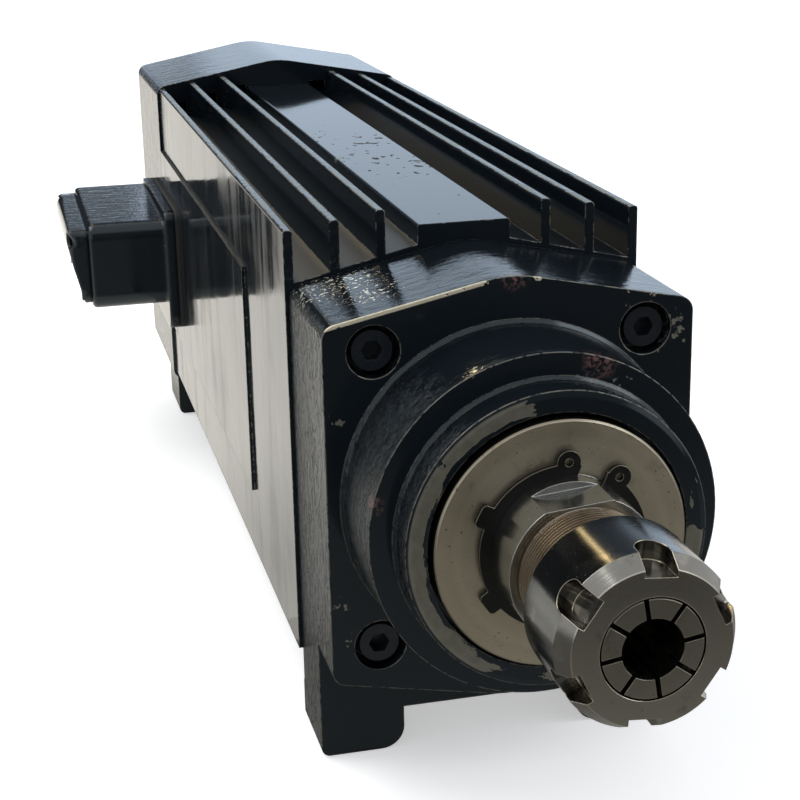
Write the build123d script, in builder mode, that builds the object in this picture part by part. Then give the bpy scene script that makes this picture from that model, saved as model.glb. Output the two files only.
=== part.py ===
from build123d import *
import os
from math import cos, radians, sin, tan

# Motor spindle with a collet nose: a finned housing between two cast shields with feet.
# Millimetres. +Z is up, +Y runs back along the shaft and the nose points to -Y. The origin is the
# middle of the four foot holes, on the plane of the soles.
# Positions along the shaft are measured from the flange face of the front shield: what lies in
# front of it is negative, what lies behind it is positive.

# ---- Feet -------------------------------------------------------------------------------------
SHAFT_H = 100.0         # shaft axis above the soles
FOOT_GAUGE = 90.0       # left foot holes to right foot holes
FRONT_FOOT_AT = 40.0    # flange face to the front foot holes
REAR_FOOT_AT = 24.0     # front of the rear shield to the rear foot holes
FOOT_W = 29.0           # width of a foot
FRONT_FOOT_L = 30.0     # length of a front foot along the shaft
REAR_FOOT_L = 36.0      # length of a rear foot along the shaft
FOOT_HOLE_R = 4.25      # tapping hole for M10
FOOT_HOLE_DEPTH = 18.0
FOOT_INNER_R = 8.0      # rounding of a foot's inner lower corner
FOOT_OUTER_R = 3.0      # rounding of its outer lower corner

# ---- Clearances -------------------------------------------------------------------------------
SEAT_GAP = 0.02         # ring on its shaft seat, ring in its bore, spigot in the housing
THREAD_GAP = 0.05       # screw in its hole
RUN_GAP = 0.08          # nut on the nose thread, collet in its taper
CAGE_GAP = 0.4          # ball cage to the rings of its bearing
LABYRINTH_GAP = 1.3     # disc rim to the bore round it
LABYRINTH_BACK = 1.0    # disc to the floor behind it
AIR_GAP = 0.5           # rotor core to stator core

# ---- Front shield (casting) -------------------------------------------------------------------
SHIELD_HALF = 60.0      # half width of the front shield
SHIELD_SIDE_TOP = 57.6  # axis to the top edge at the sides
SHIELD_RIDGE = 70.2     # axis to the ridge of the top
PLATE_SIDE_LOW = 61.0   # axis to the bottom edge of the front plate at the sides
PLATE_KEEL = 73.0       # axis to the lowest line of the front plate
PLATE_T = 24.0          # thickness of the front plate
SHIELD_LEN = 53.0       # flange face to the housing
BLOCK_LOW = 85.0        # axis to the underside between the feet
SHIELD_CORNER_R = 5.0
RIDGE_R = 40.0
BOSS_R = 54.6           # large step of the boss
BOSS_L = 34.3
BOSS_ROOT = 1.2         # bevel where the boss meets the flange face
NECK_R = 46.5           # small step of the boss
NECK_L = 46.4           # flange face to the front of the boss
NECK_BEVEL = 1.9        # bevel round the front of the boss, across
SPIGOT_L = 6.0          # register of each shield in the housing bore
SPIGOT_WALL = 4.0
SCREW_IN = 16.0         # shield screws in from the sides of the shield
SCREW_Z = 49.0          # and up or down from the axis
SCREW_R = 4.0           # M8
SCREW_HEAD_R = 6.5
SCREW_HEAD_L = 8.0
SCREW_HEX_R = 3.46      # 6 mm hexagon socket, over its corners
SCREW_BITE = 20.0       # length of screw in the housing
SCREW_POCKET_R = 8.5
SCREW_POCKET = 10.0     # depth of the pocket round a front screw head

# ---- Housing (extrusion) ----------------------------------------------------------------------
HOUSING_LEN = 353.0
HOUSING_HALF = 61.4     # half width of the housing's plain sides
PAD_OUT = 1.2           # the side panels stand out this far
PAD_HALF_H = 45.0       # half height of a side panel
PAD_START = 87.0        # front of the housing to the front end of the side panels
FLOOR_SIDE = 58.3       # axis to the channel floor at the sides
FLOOR_SLOPE = 0.235     # rise of the floor towards the middle
CENTRE_PAD_HALF = 16.1
CENTRE_PAD_TOP = 75.6
FIN_T = 3.2
FIN_PITCH = 15.6
FIN_COUNT = 3           # on each side of the centre pad
FIN_TOP = 76.7          # top of the outermost fin
FIN_STEP = 2.35         # each fin further in is higher by this
FIN_LOW = 72.5          # axis to the tips of the outermost fins below
BORE_WALL = 8.0         # thinnest wall, at the sides of the round bore

# ---- Rear shield (casting) --------------------------------------------------------------------
REAR_LEN = 90.0
REAR_SIDE_TOP = 77.3
REAR_RIDGE = 89.0
REAR_FRONT_WALL = 10.0
REAR_WALL = 5.0         # wall round the fan chamber
HUB_R = 39.0            # bearing hub
HUB_L = 24.0            # front of the shield to the back of the hub
HUB_HOLE_R = 18.0       # passage for the shaft
SPRING_T = 2.0          # wave spring behind the rear bearing
AIR_SLOT_W = 8.0        # air outlets above the channels
AIR_SLOT_H = 9.0

# ---- Bearings ---------------------------------------------------------------------------------
FRONT_BORE_R = 22.5     # 45 x 75 x 16, a pair
FRONT_OUT_R = 37.5
FRONT_W = 16.0
FRONT_COUNT = 2
FRONT_RING_T = 4.6      # thickness of the inner and outer rings
FRONT_AT = -32.0        # front face of the pair
REAR_BORE_R = 15.0      # 30 x 62 x 16
REAR_OUT_R = 31.0
REAR_W = 16.0
REAR_RING_T = 4.8
REAR_AT = 3.0           # front of the rear shield to the bearing's front face
COVER_T = 8.0           # ring behind the front bearings
COVER_R = 47.0
COVER_HOLE_R = 28.0
COVER_SCREW_PITCH_R = 42.3   # its screws from the axis
COVER_SCREW_R = 2.5
COVER_SCREW_BITE = 12.0
COVER_SCREWS = 4

# ---- Shaft ------------------------------------------------------------------------------------
NOSE_R = 22.3           # ground cylinder in front of the bearings
NOSE_END = 103.0        # flange face to the front end of the shaft
FLATS_BACK = 56.0       # flange face to the back end of the wrench flats
FLATS_L = 13.0
FLATS_AF = 39.8
FLATS_TILT = 5.0        # the flats stand turned by this, degrees
THREAD_R = 20.0         # nose thread M40 x 1.5
THREAD_DEPTH = 0.85     # the plain core stands at the root of the thread
SHOULDER_R = 26.0       # behind the front bearings
CORE_SEAT_R = 23.0
WAIST_R = 19.0          # between the core and the rear bearing
FAN_SEAT_R = 12.0
FAN_SEAT_L = 50.0
TOOL_BORE_R = 10.5      # relief behind the collet
TOOL_BORE_L = 30.0

# ---- Labyrinth disc and retaining ring --------------------------------------------------------
DISC_R = 38.7
DISC_T = 8.0
DISC_PROUD = 2.7        # disc stands out of the boss by this
DISC_HUB_R = 27.0       # collar that bears on the inner rings
DISC_HUB_GAP = 1.5
RING_T = 1.8
RING_OUT_R = 25.7
RING_GROOVE = 1.0       # depth of the groove in the shaft
RING_OPENING = 68.5     # direction of the ring's gap, degrees from +X
RING_OPENING_W = 8.5    # width of that gap
RING_LUG_SPREAD = 18.5  # each lug from the middle of the gap, degrees
RING_LUG_R = 3.6
RING_LUG_AT = 26.2      # lug centre from the axis
RING_HOLE_R = 1.2
RING_TABS = (84.5, 145.0)
RING_TAB_R = 28.8
RING_TAB_W = 7.0

# ---- Collet and clamping nut ------------------------------------------------------------------
FACE_AT = 120.6         # flange face to the front faces of the collet and the nut
TAPER = 8.0             # half angle of the collet taper, degrees
COLLET_L = 40.0
COLLET_R = 16.5         # largest radius of the collet
COLLET_FACE_R = 13.9
COLLET_HEAD = 6.5       # front face to the back of the collet's head
COLLET_GROOVE = 3.2
COLLET_GROOVE_R = 14.7
COLLET_BORE_R = 8.6 
SLIT_W = 1.4
SLITS = 8
SLIT_TURN = 9.0
SLIT_END = 9.0          # uncut length at the far end of each slit
NUT_R = 25.0
NUT_L = 31.0
NUT_LIP_R = 22.0        # front face of the nut
NUT_BEVEL_L = 5.6
NUT_FACE_GAP = 0.6      # nut's front opening round the collet
NUT_STEP = 16.0         # front face to the front end of the thread
NUT_RELIEF_L = 7.0      # plain recess behind the nut's thread
NUT_RELIEF_GAP = 0.3    # recess to the crests of the thread
NUT_SLOTS = 6
NUT_SLOT_W = 9.0
NUT_SLOT_L = 12.6
NUT_SLOT_R = 19.7       # bottom of the slots
NUT_SLOT_TURN = 25.0
CLAW_GAP = 0.9          # ring in the nut that pulls the collet out

# ---- Motor ------------------------------------------------------------------------------------
STATOR_FRONT = 51.0     # front of the housing to the stator core
CORE_L = 230.0
ROTOR_R = 32.0
WINDING_L = 25.0
WINDING_IN_R = 35.0
WINDING_OUT_R = 48.0
END_RING_L = 6.0
END_RING_R = 30.5

# ---- Fan and its guard ------------------------------------------------------------------------
FAN_AT = 38.0           # front of the rear shield to the fan's disc
FAN_L = 32.0
FAN_R = 50.0
FAN_HUB_R = 18.0
FAN_DISC_T = 3.0
BLADES = 9
BLADE_T = 2.0
CLIP_T = 1.2            # retaining ring behind the fan
CLIP_R = 15.5
GUARD_T = 2.5
GUARD_RINGS = (20.0, 30.0, 40.0, 50.0)
GUARD_OPEN = 6.0
GUARD_SPOKE = 5.0
GUARD_SCREW_IN = 6.5    # guard screws in from the sides
GUARD_SCREW_DOWN = 9.0  # and down from the top corners
GUARD_SCREW_R = 2.0
GUARD_SCREW_BITE = 8.0
GUARD_BOSS_R = 5.0

# ---- Terminal box -----------------------------------------------------------------------------
BOX_LEAD = 62.0         # foot plate reaches forward of the rear shield by this
BOX_L = 102.0           # foot plate along the shaft
BOX_FOOT_TOP = 25.0
BOX_FOOT_LOW = 34.0
BOX_FOOT_T = 5.0        # foot plate, which is the back wall of the box as well
BOX_FOOT_R = 6.0
GASKET_T = 1.5
GASKET_IN = 2.0         # its window, in from the walls of the box
BOX_INSET = 2.0         # body set in from the foot plate's ends
BOX_LOW = 21.5
BOX_TOP_FRONT = 20.5
BOX_TOP_REAR = 23.0
BOX_OUT = 37.0          # body outwards from the foot plate
BOX_WALL = 4.5
BOX_R = 7.0
BOX_EDGE_R = 2.4        # rounding round the open side of the body
BOX_POST_R = 4.5
LID_T = 10.0
LID_IN = 2.8            # lid set in from the edges of the body
LID_ROUND = 5.0
LID_LOW_T = 3.4         # thickness at its lower edge, where it curves in
LID_SEAT = 2.8          # under the heads of its screws
LID_SCREW_R = 2.0
LID_SCREW_BITE = 10.0
LID_SCREW_IN = 7.5      # lid screws in from the box's edges
LID_HEAD_L = 2.0
BOX_SCREW_R = 2.5
BOX_SCREW_X = 16.0      # box screws from the middle of the box, along the shaft
BOX_SCREW_Z = 12.0      # and up or down from the axis
BOX_SCREW_BITE = 6.0
GLAND_R = 10.0          # M20
GLAND_HEX_R = 13.0
GLAND_HEX_L = 6.0
GLAND_THREAD_L = 8.0    # thread under the gland's nut
GLAND_NUT_L = 16.0
GLAND_CABLE_R = 5.5
TERMINALS = 6
TERMINAL_PITCH = 10.0
TERMINAL_W = 14.0
TERMINAL_H = 10.0
TERMINAL_RIB = 4.0      # height of the ribs between the studs
STUD_R = 2.0
STUD_L = 9.0

# ---- Places that follow from the sizes ---------------------------------------------------------
S_REAR = SHIELD_LEN + HOUSING_LEN                   # front of the rear shield
S_GUARD = S_REAR + REAR_LEN                         # back of the rear shield
REAR_HALF = HOUSING_HALF + PAD_OUT                  # rear shield, level with the side panels
BORE_R = SHIELD_HALF - BORE_WALL
SCREW_X = SHIELD_HALF - SCREW_IN
GUARD_X = REAR_HALF - GUARD_SCREW_IN
GUARD_Z = REAR_SIDE_TOP - GUARD_SCREW_DOWN
FIN_OUTER_X = HOUSING_HALF - FIN_T / 2              # middle of the outermost fin
S_BOX = S_REAR - BOX_LEAD                           # front edge of the terminal box's foot plate
FOOT_ROWS = S_REAR + REAR_FOOT_AT - FRONT_FOOT_AT   # front foot holes to rear foot holes
FACE_Y = -(FOOT_ROWS / 2 + FRONT_FOOT_AT)           # flange face in the part's own frame
S_DISC = -NECK_L - DISC_PROUD                       # front of the labyrinth disc
S_POCKET = S_DISC + DISC_T + LABYRINTH_BACK         # floor of the pocket behind the disc
S_COVER = FRONT_AT + FRONT_COUNT * FRONT_W          # back of the front bearings
S_CORE = SHIELD_LEN + STATOR_FRONT                  # front of the stator and rotor cores
S_REAR_BEARING = S_REAR + REAR_AT
S_FAN = S_REAR + FAN_AT
RECESS_R = DISC_R + LABYRINTH_GAP
CAVITY_R = BORE_R - SPIGOT_WALL
TAN = tan(radians(TAPER))
BOX_MID = FACE_Y + S_BOX + BOX_L / 2                # middle of the terminal box along Y
BOX_HOLES = [(sx * BOX_SCREW_X, sz * BOX_SCREW_Z) for sx in (-1, 1) for sz in (-1, 1)]

AXLE = Axis((0, 0, SHAFT_H), (0, 1, 0))
AXIAL = Plane(origin=(0, FACE_Y, SHAFT_H), x_dir=(0, 1, 0), z_dir=(1, 0, 0))


def cross(s, turn=0.0):
    """Plane across the shaft at s, seen from the nose, turned about the shaft by degrees."""
    right = (cos(radians(turn)), 0, sin(radians(turn)))
    return Plane(origin=(0, FACE_Y + s, SHAFT_H), x_dir=right, z_dir=(0, -1, 0))


def outline(*points):
    """Closed straight-sided face in the sketch at hand."""
    Polygon(*points, align=None)


def turned(*points, mode=Mode.ADD):
    """Body of revolution about the shaft, from (place along the shaft, radius) points."""
    with BuildSketch(AXIAL) as profile:
        outline(*points)
    revolve(profile.sketch, axis=AXLE, mode=mode)


def sleeve(start, length, r_in, r_out, mode=Mode.ADD):
    """Plain ring round the shaft."""
    turned((start, r_in), (start + length, r_in), (start + length, r_out), (start, r_out), mode=mode)


def gable(half, side_top, ridge, side_low, keel, corner_r=SHIELD_CORNER_R):
    """Cross-section of a shield: straight sides under a low ridge, the same way up and down."""
    outline((-half, side_top), (0, ridge), (half, side_top), (half, -side_low), (0, -keel), (-half, -side_low))
    if corner_r:
        fillet(vertices().filter_by(lambda v: abs(v.X) > half / 2), corner_r)
        fillet(vertices().filter_by(lambda v: abs(v.X) < half / 2), RIDGE_R)


def feet(start, length, top):
    """A pair of feet, from the soles up to top below the axis."""
    for side in (-1, 1):
        outer, inner = side * SHIELD_HALF, side * (SHIELD_HALF - FOOT_W)
        with BuildSketch(cross(start)) as foot:
            outline((outer, -top), (inner, -top), (inner, -SHAFT_H), (outer, -SHAFT_H))
            fillet(vertices().filter_by(lambda v: v.Y < -top and abs(v.X) < abs(outer)),
                   min(FOOT_INNER_R, (SHAFT_H - top) * 0.6))
            fillet(vertices().group_by(Axis.Y)[0].sort_by(lambda v: abs(v.X))[-1], FOOT_OUTER_R)
        extrude(foot.sketch, amount=-length)


def sole_holes(s):
    """Tapped holes in a pair of feet."""
    with BuildSketch(Plane.XY) as holes:
        with Locations(*[(side * FOOT_GAUGE / 2, FACE_Y + s) for side in (-1, 1)]):
            Circle(FOOT_HOLE_R)
    extrude(holes.sketch, amount=FOOT_HOLE_DEPTH, mode=Mode.SUBTRACT)


def box_side(out):
    """Plane parallel to the left side, this far out from its panel: local X runs forward, local Y up."""
    return Plane(origin=(-REAR_HALF - out, BOX_MID, SHAFT_H), x_dir=(0, -1, 0), z_dir=(-1, 0, 0))


def box_screw_holes():
    """Tapped holes for the screws of the terminal box."""
    with BuildSketch(box_side(0)) as holes:
        with Locations(*BOX_HOLES):
            Circle(BOX_SCREW_R + THREAD_GAP)
    extrude(holes.sketch, amount=-BOX_SCREW_BITE - 1, mode=Mode.SUBTRACT)


def screw_places(start, x=SCREW_X, z=SCREW_Z):
    """Locations of four screws, one in each corner."""
    return [cross(start) * Location((sx * x, sz * z)) for sx in (-1, 1) for sz in (-1, 1)]


def cap_screws(places, r, length, head_r, head_l, hex_r=0.0):
    """Screws with their heads on the places and their shanks behind them, with sockets if hex_r is given."""
    with BuildSketch(*[Plane(p) for p in places]) as shanks:
        Circle(r)
    with BuildSketch(*[Plane(p) for p in places]) as heads:
        Circle(head_r)
    extrude(shanks.sketch, amount=-length)
    extrude(heads.sketch, amount=head_l)
    if hex_r:
        with BuildSketch(*[Plane(p).offset(head_l) for p in places]) as sockets:
            RegularPolygon(hex_r, 6)
        extrude(sockets.sketch, amount=-head_l * 0.6, mode=Mode.SUBTRACT)


# ================================ FIXED PIECES ================================

# Front shield: gabled plate and block, stepped boss round the shaft, two feet.
with BuildPart() as front_shield:
    with BuildSketch(cross(0)):
        gable(SHIELD_HALF, SHIELD_SIDE_TOP, SHIELD_RIDGE, PLATE_SIDE_LOW, PLATE_KEEL)
    extrude(amount=-PLATE_T)
    with BuildSketch(cross(PLATE_T)):
        gable(SHIELD_HALF, SHIELD_SIDE_TOP, SHIELD_RIDGE, BLOCK_LOW, BLOCK_LOW, 0)
        fillet(vertices().group_by(Axis.Y)[-2], SHIELD_CORNER_R)
        fillet(vertices().group_by(Axis.Y)[-1], RIDGE_R)
    extrude(amount=-(SHIELD_LEN - PLATE_T))
    feet(PLATE_T, FRONT_FOOT_L, BLOCK_LOW)
    turned((PLATE_T, 0), (PLATE_T, CAVITY_R), (0, BOSS_R + BOSS_ROOT), (-BOSS_ROOT, BOSS_R), (-BOSS_L, BOSS_R),
           (-BOSS_L, NECK_R + 1), (-BOSS_L - 1, NECK_R), (-NECK_L + 0.6, NECK_R),
           (-NECK_L, NECK_R - NECK_BEVEL), (-NECK_L, 0))
    sleeve(SHIELD_LEN, SPIGOT_L, CAVITY_R, BORE_R - SEAT_GAP)
    # Pocket of the labyrinth disc, passage of its collar, seat of the bearings, room for the windings
    turned((-NECK_L, 0), (-NECK_L, RECESS_R), (S_POCKET, RECESS_R), (S_POCKET, DISC_HUB_R + DISC_HUB_GAP),
           (FRONT_AT, DISC_HUB_R + DISC_HUB_GAP), (FRONT_AT, FRONT_OUT_R + SEAT_GAP),
           (S_COVER, FRONT_OUT_R + SEAT_GAP), (S_COVER, CAVITY_R), (SHIELD_LEN + SPIGOT_L, CAVITY_R),
           (SHIELD_LEN + SPIGOT_L, 0), mode=Mode.SUBTRACT)
    with BuildSketch(*[Plane(p) for p in screw_places(0)]):
        Circle(SCREW_POCKET_R)
    extrude(amount=-SCREW_POCKET, mode=Mode.SUBTRACT)
    with BuildSketch(*[Plane(p) for p in screw_places(0)]):
        Circle(SCREW_R + THREAD_GAP)
    extrude(amount=-SHIELD_LEN, mode=Mode.SUBTRACT)
    with BuildSketch(cross(S_COVER)):
        with PolarLocations(COVER_SCREW_PITCH_R, COVER_SCREWS, start_angle=45):
            Circle(COVER_SCREW_R + THREAD_GAP)
    extrude(amount=COVER_SCREW_BITE + 2, mode=Mode.SUBTRACT)
    sole_holes(FRONT_FOOT_AT)

# Housing: one extruded length with three cooling fins each side of a flat pad, above and below.
with BuildPart() as housing:
    with BuildSketch(cross(SHIELD_LEN)):
        ridge = FLOOR_SIDE + FLOOR_SLOPE * (HOUSING_HALF - CENTRE_PAD_HALF)
        outline((-HOUSING_HALF, 0), (-HOUSING_HALF, FLOOR_SIDE), (-CENTRE_PAD_HALF, ridge),
                (-CENTRE_PAD_HALF, CENTRE_PAD_TOP), (CENTRE_PAD_HALF, CENTRE_PAD_TOP),
                (CENTRE_PAD_HALF, ridge), (HOUSING_HALF, FLOOR_SIDE), (HOUSING_HALF, 0))
        for i in range(FIN_COUNT):
            x, top, root = FIN_OUTER_X - i * FIN_PITCH, FIN_TOP + i * FIN_STEP, FLOOR_SIDE - 4
            for side in (-1, 1):
                with Locations((side * x, (top + root) / 2)):
                    Rectangle(FIN_T, top - root)
        fillet(vertices().filter_by(lambda v: v.Y > CENTRE_PAD_TOP - 0.01), 0.9)
        mirror(about=Plane.XZ)
        with Locations((FIN_OUTER_X, -FIN_LOW), (-FIN_OUTER_X, -FIN_LOW)):
            Rectangle(FIN_T, FIN_PITCH, align=(Align.CENTER, Align.MAX), mode=Mode.SUBTRACT)
        Circle(BORE_R, mode=Mode.SUBTRACT)
    extrude(amount=-HOUSING_LEN)
    with BuildSketch(cross(SHIELD_LEN + PAD_START)):
        for side in (-1, 1):
            with Locations((side * (HOUSING_HALF + PAD_OUT / 2), 0)):
                Rectangle(PAD_OUT, 2 * PAD_HALF_H)
    extrude(amount=-(HOUSING_LEN - PAD_START))
    for end, way in ((SHIELD_LEN, -1), (S_REAR, 1)):
        with BuildSketch(*[Plane(p) for p in screw_places(end)]):
            Circle(SCREW_R + THREAD_GAP)
        extrude(amount=way * (SCREW_BITE + 4), mode=Mode.SUBTRACT)
    box_screw_holes()

# Rear shield: front wall with the bearing hub, fan chamber open at the back, two feet.
with BuildPart() as rear_shield:
    with BuildSketch(cross(S_REAR)):
        gable(REAR_HALF, REAR_SIDE_TOP, REAR_RIDGE, REAR_SIDE_TOP, REAR_RIDGE)
    extrude(amount=-REAR_LEN)
    feet(S_REAR + REAR_FOOT_AT - REAR_FOOT_L / 2, REAR_FOOT_L, REAR_SIDE_TOP - REAR_WALL)
    with BuildSketch(cross(S_REAR + REAR_FRONT_WALL)):
        gable(REAR_HALF - REAR_WALL, REAR_SIDE_TOP - REAR_WALL, REAR_RIDGE - REAR_WALL,
              REAR_SIDE_TOP - REAR_WALL, REAR_RIDGE - REAR_WALL)
    extrude(amount=-(REAR_LEN - REAR_FRONT_WALL), mode=Mode.SUBTRACT)
    with BuildSketch(*[Plane(p) for p in screw_places(S_GUARD, GUARD_X, GUARD_Z)]):
        Circle(GUARD_BOSS_R)
    extrude(amount=REAR_LEN - REAR_FRONT_WALL)
    with BuildSketch(cross(S_REAR)):
        Circle(HUB_R)
    extrude(amount=-HUB_L)
    sleeve(S_REAR - SPIGOT_L, SPIGOT_L, CAVITY_R, BORE_R - SEAT_GAP)
    spring_end = S_REAR_BEARING + REAR_W + SPRING_T
    turned((S_REAR, 0), (S_REAR, REAR_OUT_R + SEAT_GAP), (spring_end, REAR_OUT_R + SEAT_GAP),
           (spring_end, HUB_HOLE_R), (S_REAR + HUB_L, HUB_HOLE_R), (S_REAR + HUB_L, 0), mode=Mode.SUBTRACT)
    # Air outlets over the channels between the fins, above and below
    for i in range(FIN_COUNT):
        x = FIN_OUTER_X - (i + 0.5) * FIN_PITCH
        mid = FLOOR_SIDE + FLOOR_SLOPE * (HOUSING_HALF - x) + AIR_SLOT_H / 2
        with BuildSketch(cross(S_REAR)):
            with Locations(*[(sx * x, sz * mid) for sx in (-1, 1) for sz in (-1, 1)]):
                Rectangle(AIR_SLOT_W, AIR_SLOT_H)
        extrude(amount=-REAR_FRONT_WALL, mode=Mode.SUBTRACT)
    with BuildSketch(*[Plane(p) for p in screw_places(S_REAR)]):
        Circle(SCREW_R + THREAD_GAP)
    extrude(amount=-REAR_FRONT_WALL, mode=Mode.SUBTRACT)
    with BuildSketch(*[Plane(p) for p in screw_places(S_GUARD, GUARD_X, GUARD_Z)]):
        Circle(GUARD_SCREW_R + THREAD_GAP)
    extrude(amount=GUARD_SCREW_BITE + 2, mode=Mode.SUBTRACT)
    box_screw_holes()
    sole_holes(FRONT_FOOT_AT + FOOT_ROWS)

with BuildPart() as front_shield_screws:
    cap_screws(screw_places(SCREW_POCKET), SCREW_R, SHIELD_LEN - SCREW_POCKET + SCREW_BITE,
               SCREW_HEAD_R, SCREW_HEAD_L, SCREW_HEX_R)

with BuildPart() as rear_shield_screws:
    rear_places = [p * Location((0, 0, 0), (180, 0, 0)) for p in screw_places(S_REAR + REAR_FRONT_WALL)]
    cap_screws(rear_places, SCREW_R, REAR_FRONT_WALL + SCREW_BITE, SCREW_HEAD_R, SCREW_HEAD_L)

# Bearings: an angular contact pair in the boss, one deep groove bearing in the rear hub.
with BuildPart() as front_bearing_outer_rings:
    sleeve(FRONT_AT, FRONT_COUNT * FRONT_W, FRONT_OUT_R - FRONT_RING_T, FRONT_OUT_R)
    for i in range(1, FRONT_COUNT):
        sleeve(FRONT_AT + i * FRONT_W - 0.5, 1, FRONT_OUT_R - 0.6, FRONT_OUT_R, Mode.SUBTRACT)

with BuildPart() as front_bearing_cover:
    sleeve(S_COVER, COVER_T, COVER_HOLE_R, COVER_R)
    with BuildSketch(cross(S_COVER)):
        with PolarLocations(COVER_SCREW_PITCH_R, COVER_SCREWS, start_angle=45):
            Circle(COVER_SCREW_R + THREAD_GAP)
    extrude(amount=-COVER_T, mode=Mode.SUBTRACT)

with BuildPart() as bearing_cover_screws:
    cover_places = [cross(S_COVER + COVER_T, 45 + i * 360 / COVER_SCREWS)
                    * Location((COVER_SCREW_PITCH_R, 0, 0), (180, 0, 0)) for i in range(COVER_SCREWS)]
    cap_screws(cover_places, COVER_SCREW_R, COVER_T + COVER_SCREW_BITE, COVER_SCREW_R * 1.7, COVER_SCREW_R * 2)

with BuildPart() as rear_bearing_outer_ring:
    sleeve(S_REAR_BEARING, REAR_W, REAR_OUT_R - REAR_RING_T, REAR_OUT_R)

with BuildPart() as wave_spring:
    sleeve(S_REAR_BEARING + REAR_W, SPRING_T, REAR_OUT_R - 5, REAR_OUT_R - 0.5)

# Stator: laminated core in the bore, and the end turns of its winding.
with BuildPart() as stator_core:
    sleeve(S_CORE, CORE_L, ROTOR_R + AIR_GAP, BORE_R - SEAT_GAP)

with BuildPart() as stator_windings:
    for start in (S_CORE - WINDING_L, S_CORE + CORE_L):
        sleeve(start, WINDING_L, WINDING_IN_R, WINDING_OUT_R)

# ================================ SPINDLE ================================

collet_back = -FACE_AT + COLLET_L
mouth_r = COLLET_R - TAN * (FACE_AT - COLLET_HEAD - NOSE_END) + RUN_GAP
back_r = COLLET_R - TAN * (COLLET_L - COLLET_HEAD) + RUN_GAP
shaft_end = S_REAR + HUB_L + FAN_SEAT_L
clip_at = S_FAN + FAN_L
root_r = THREAD_R - THREAD_DEPTH
flat_cut = NOSE_R - FLATS_AF / 2 + 1

with BuildPart() as spindle_shaft:
    turned((-NOSE_END, mouth_r), (-NOSE_END, root_r - 1), (-NOSE_END + 1, root_r),
           (-FLATS_BACK - FLATS_L, root_r), (-FLATS_BACK - FLATS_L, NOSE_R),
           (S_DISC - RING_T, NOSE_R), (S_DISC - RING_T, NOSE_R - RING_GROOVE), (S_DISC, NOSE_R - RING_GROOVE),
           (S_DISC, NOSE_R), (FRONT_AT, NOSE_R), (FRONT_AT, FRONT_BORE_R), (S_COVER, FRONT_BORE_R),
           (S_COVER, SHOULDER_R), (S_CORE - END_RING_L, SHOULDER_R), (S_CORE - END_RING_L, CORE_SEAT_R),
           (S_CORE + CORE_L + END_RING_L, CORE_SEAT_R), (S_CORE + CORE_L + END_RING_L, WAIST_R),
           (S_REAR_BEARING, WAIST_R), (S_REAR_BEARING, REAR_BORE_R), (S_REAR + HUB_L, REAR_BORE_R),
           (S_REAR + HUB_L, FAN_SEAT_R), (clip_at, FAN_SEAT_R), (clip_at, FAN_SEAT_R - 0.8),
           (clip_at + CLIP_T, FAN_SEAT_R - 0.8), (clip_at + CLIP_T, FAN_SEAT_R),
           (shaft_end, FAN_SEAT_R), (shaft_end, 0), (collet_back + TOOL_BORE_L, 0),
           (collet_back + TOOL_BORE_L, TOOL_BORE_R), (collet_back + 2, TOOL_BORE_R), (collet_back + 2, back_r),
           (collet_back, back_r))
    # Two wrench flats behind the thread
    with BuildSketch(cross(-FLATS_BACK - FLATS_L, FLATS_TILT)):
        for side in (-1, 1):
            with Locations((0, side * (FLATS_AF + flat_cut) / 2)):
                Rectangle(2 * NOSE_R, flat_cut)
    extrude(amount=-FLATS_L, mode=Mode.SUBTRACT)

with BuildPart() as labyrinth_disc:
    bore = NOSE_R + SEAT_GAP
    turned((S_DISC, bore), (S_DISC, DISC_R - 0.6), (S_DISC + 0.6, DISC_R), (S_DISC + DISC_T, DISC_R),
           (S_DISC + DISC_T, DISC_HUB_R), (FRONT_AT, DISC_HUB_R), (FRONT_AT, bore))

# Open retaining ring with lobes, in front of the disc.
with BuildPart() as retaining_ring:
    with BuildSketch(cross(S_DISC - RING_T, RING_OPENING)):
        Circle(RING_OUT_R)
        for way in (-1, 1):
            for turn in RING_TABS:
                with PolarLocations((RING_OUT_R - 2 + RING_TAB_R) / 2, 1, start_angle=way * turn):
                    RectangleRounded(RING_TAB_R - RING_OUT_R + 2, RING_TAB_W, 1.5)
            with PolarLocations(RING_LUG_AT, 1, start_angle=way * RING_LUG_SPREAD):
                Circle(RING_LUG_R)
                Circle(RING_HOLE_R, mode=Mode.SUBTRACT)
        Circle(NOSE_R - RING_GROOVE + SEAT_GAP, mode=Mode.SUBTRACT)
        with Locations((RING_OUT_R, 0)):
            Rectangle(RING_OUT_R, RING_OPENING_W, mode=Mode.SUBTRACT)
    extrude(amount=-RING_T)

with BuildPart() as front_bearing_inner_rings:
    sleeve(FRONT_AT, FRONT_COUNT * FRONT_W, FRONT_BORE_R + SEAT_GAP, FRONT_BORE_R + FRONT_RING_T)
    for i in range(1, FRONT_COUNT):
        sleeve(FRONT_AT + i * FRONT_W - 0.5, 1, FRONT_BORE_R + FRONT_RING_T - 0.6, FRONT_BORE_R + FRONT_RING_T,
               Mode.SUBTRACT)

with BuildPart() as rear_bearing_inner_ring:
    sleeve(S_REAR_BEARING, REAR_W, REAR_BORE_R + SEAT_GAP, REAR_BORE_R + REAR_RING_T)

with BuildPart() as rotor_core:
    sleeve(S_CORE, CORE_L, CORE_SEAT_R + SEAT_GAP, ROTOR_R)

with BuildPart() as rotor_end_rings:
    for start in (S_CORE - END_RING_L, S_CORE + CORE_L):
        sleeve(start, END_RING_L, CORE_SEAT_R + SEAT_GAP, END_RING_R)

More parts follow.
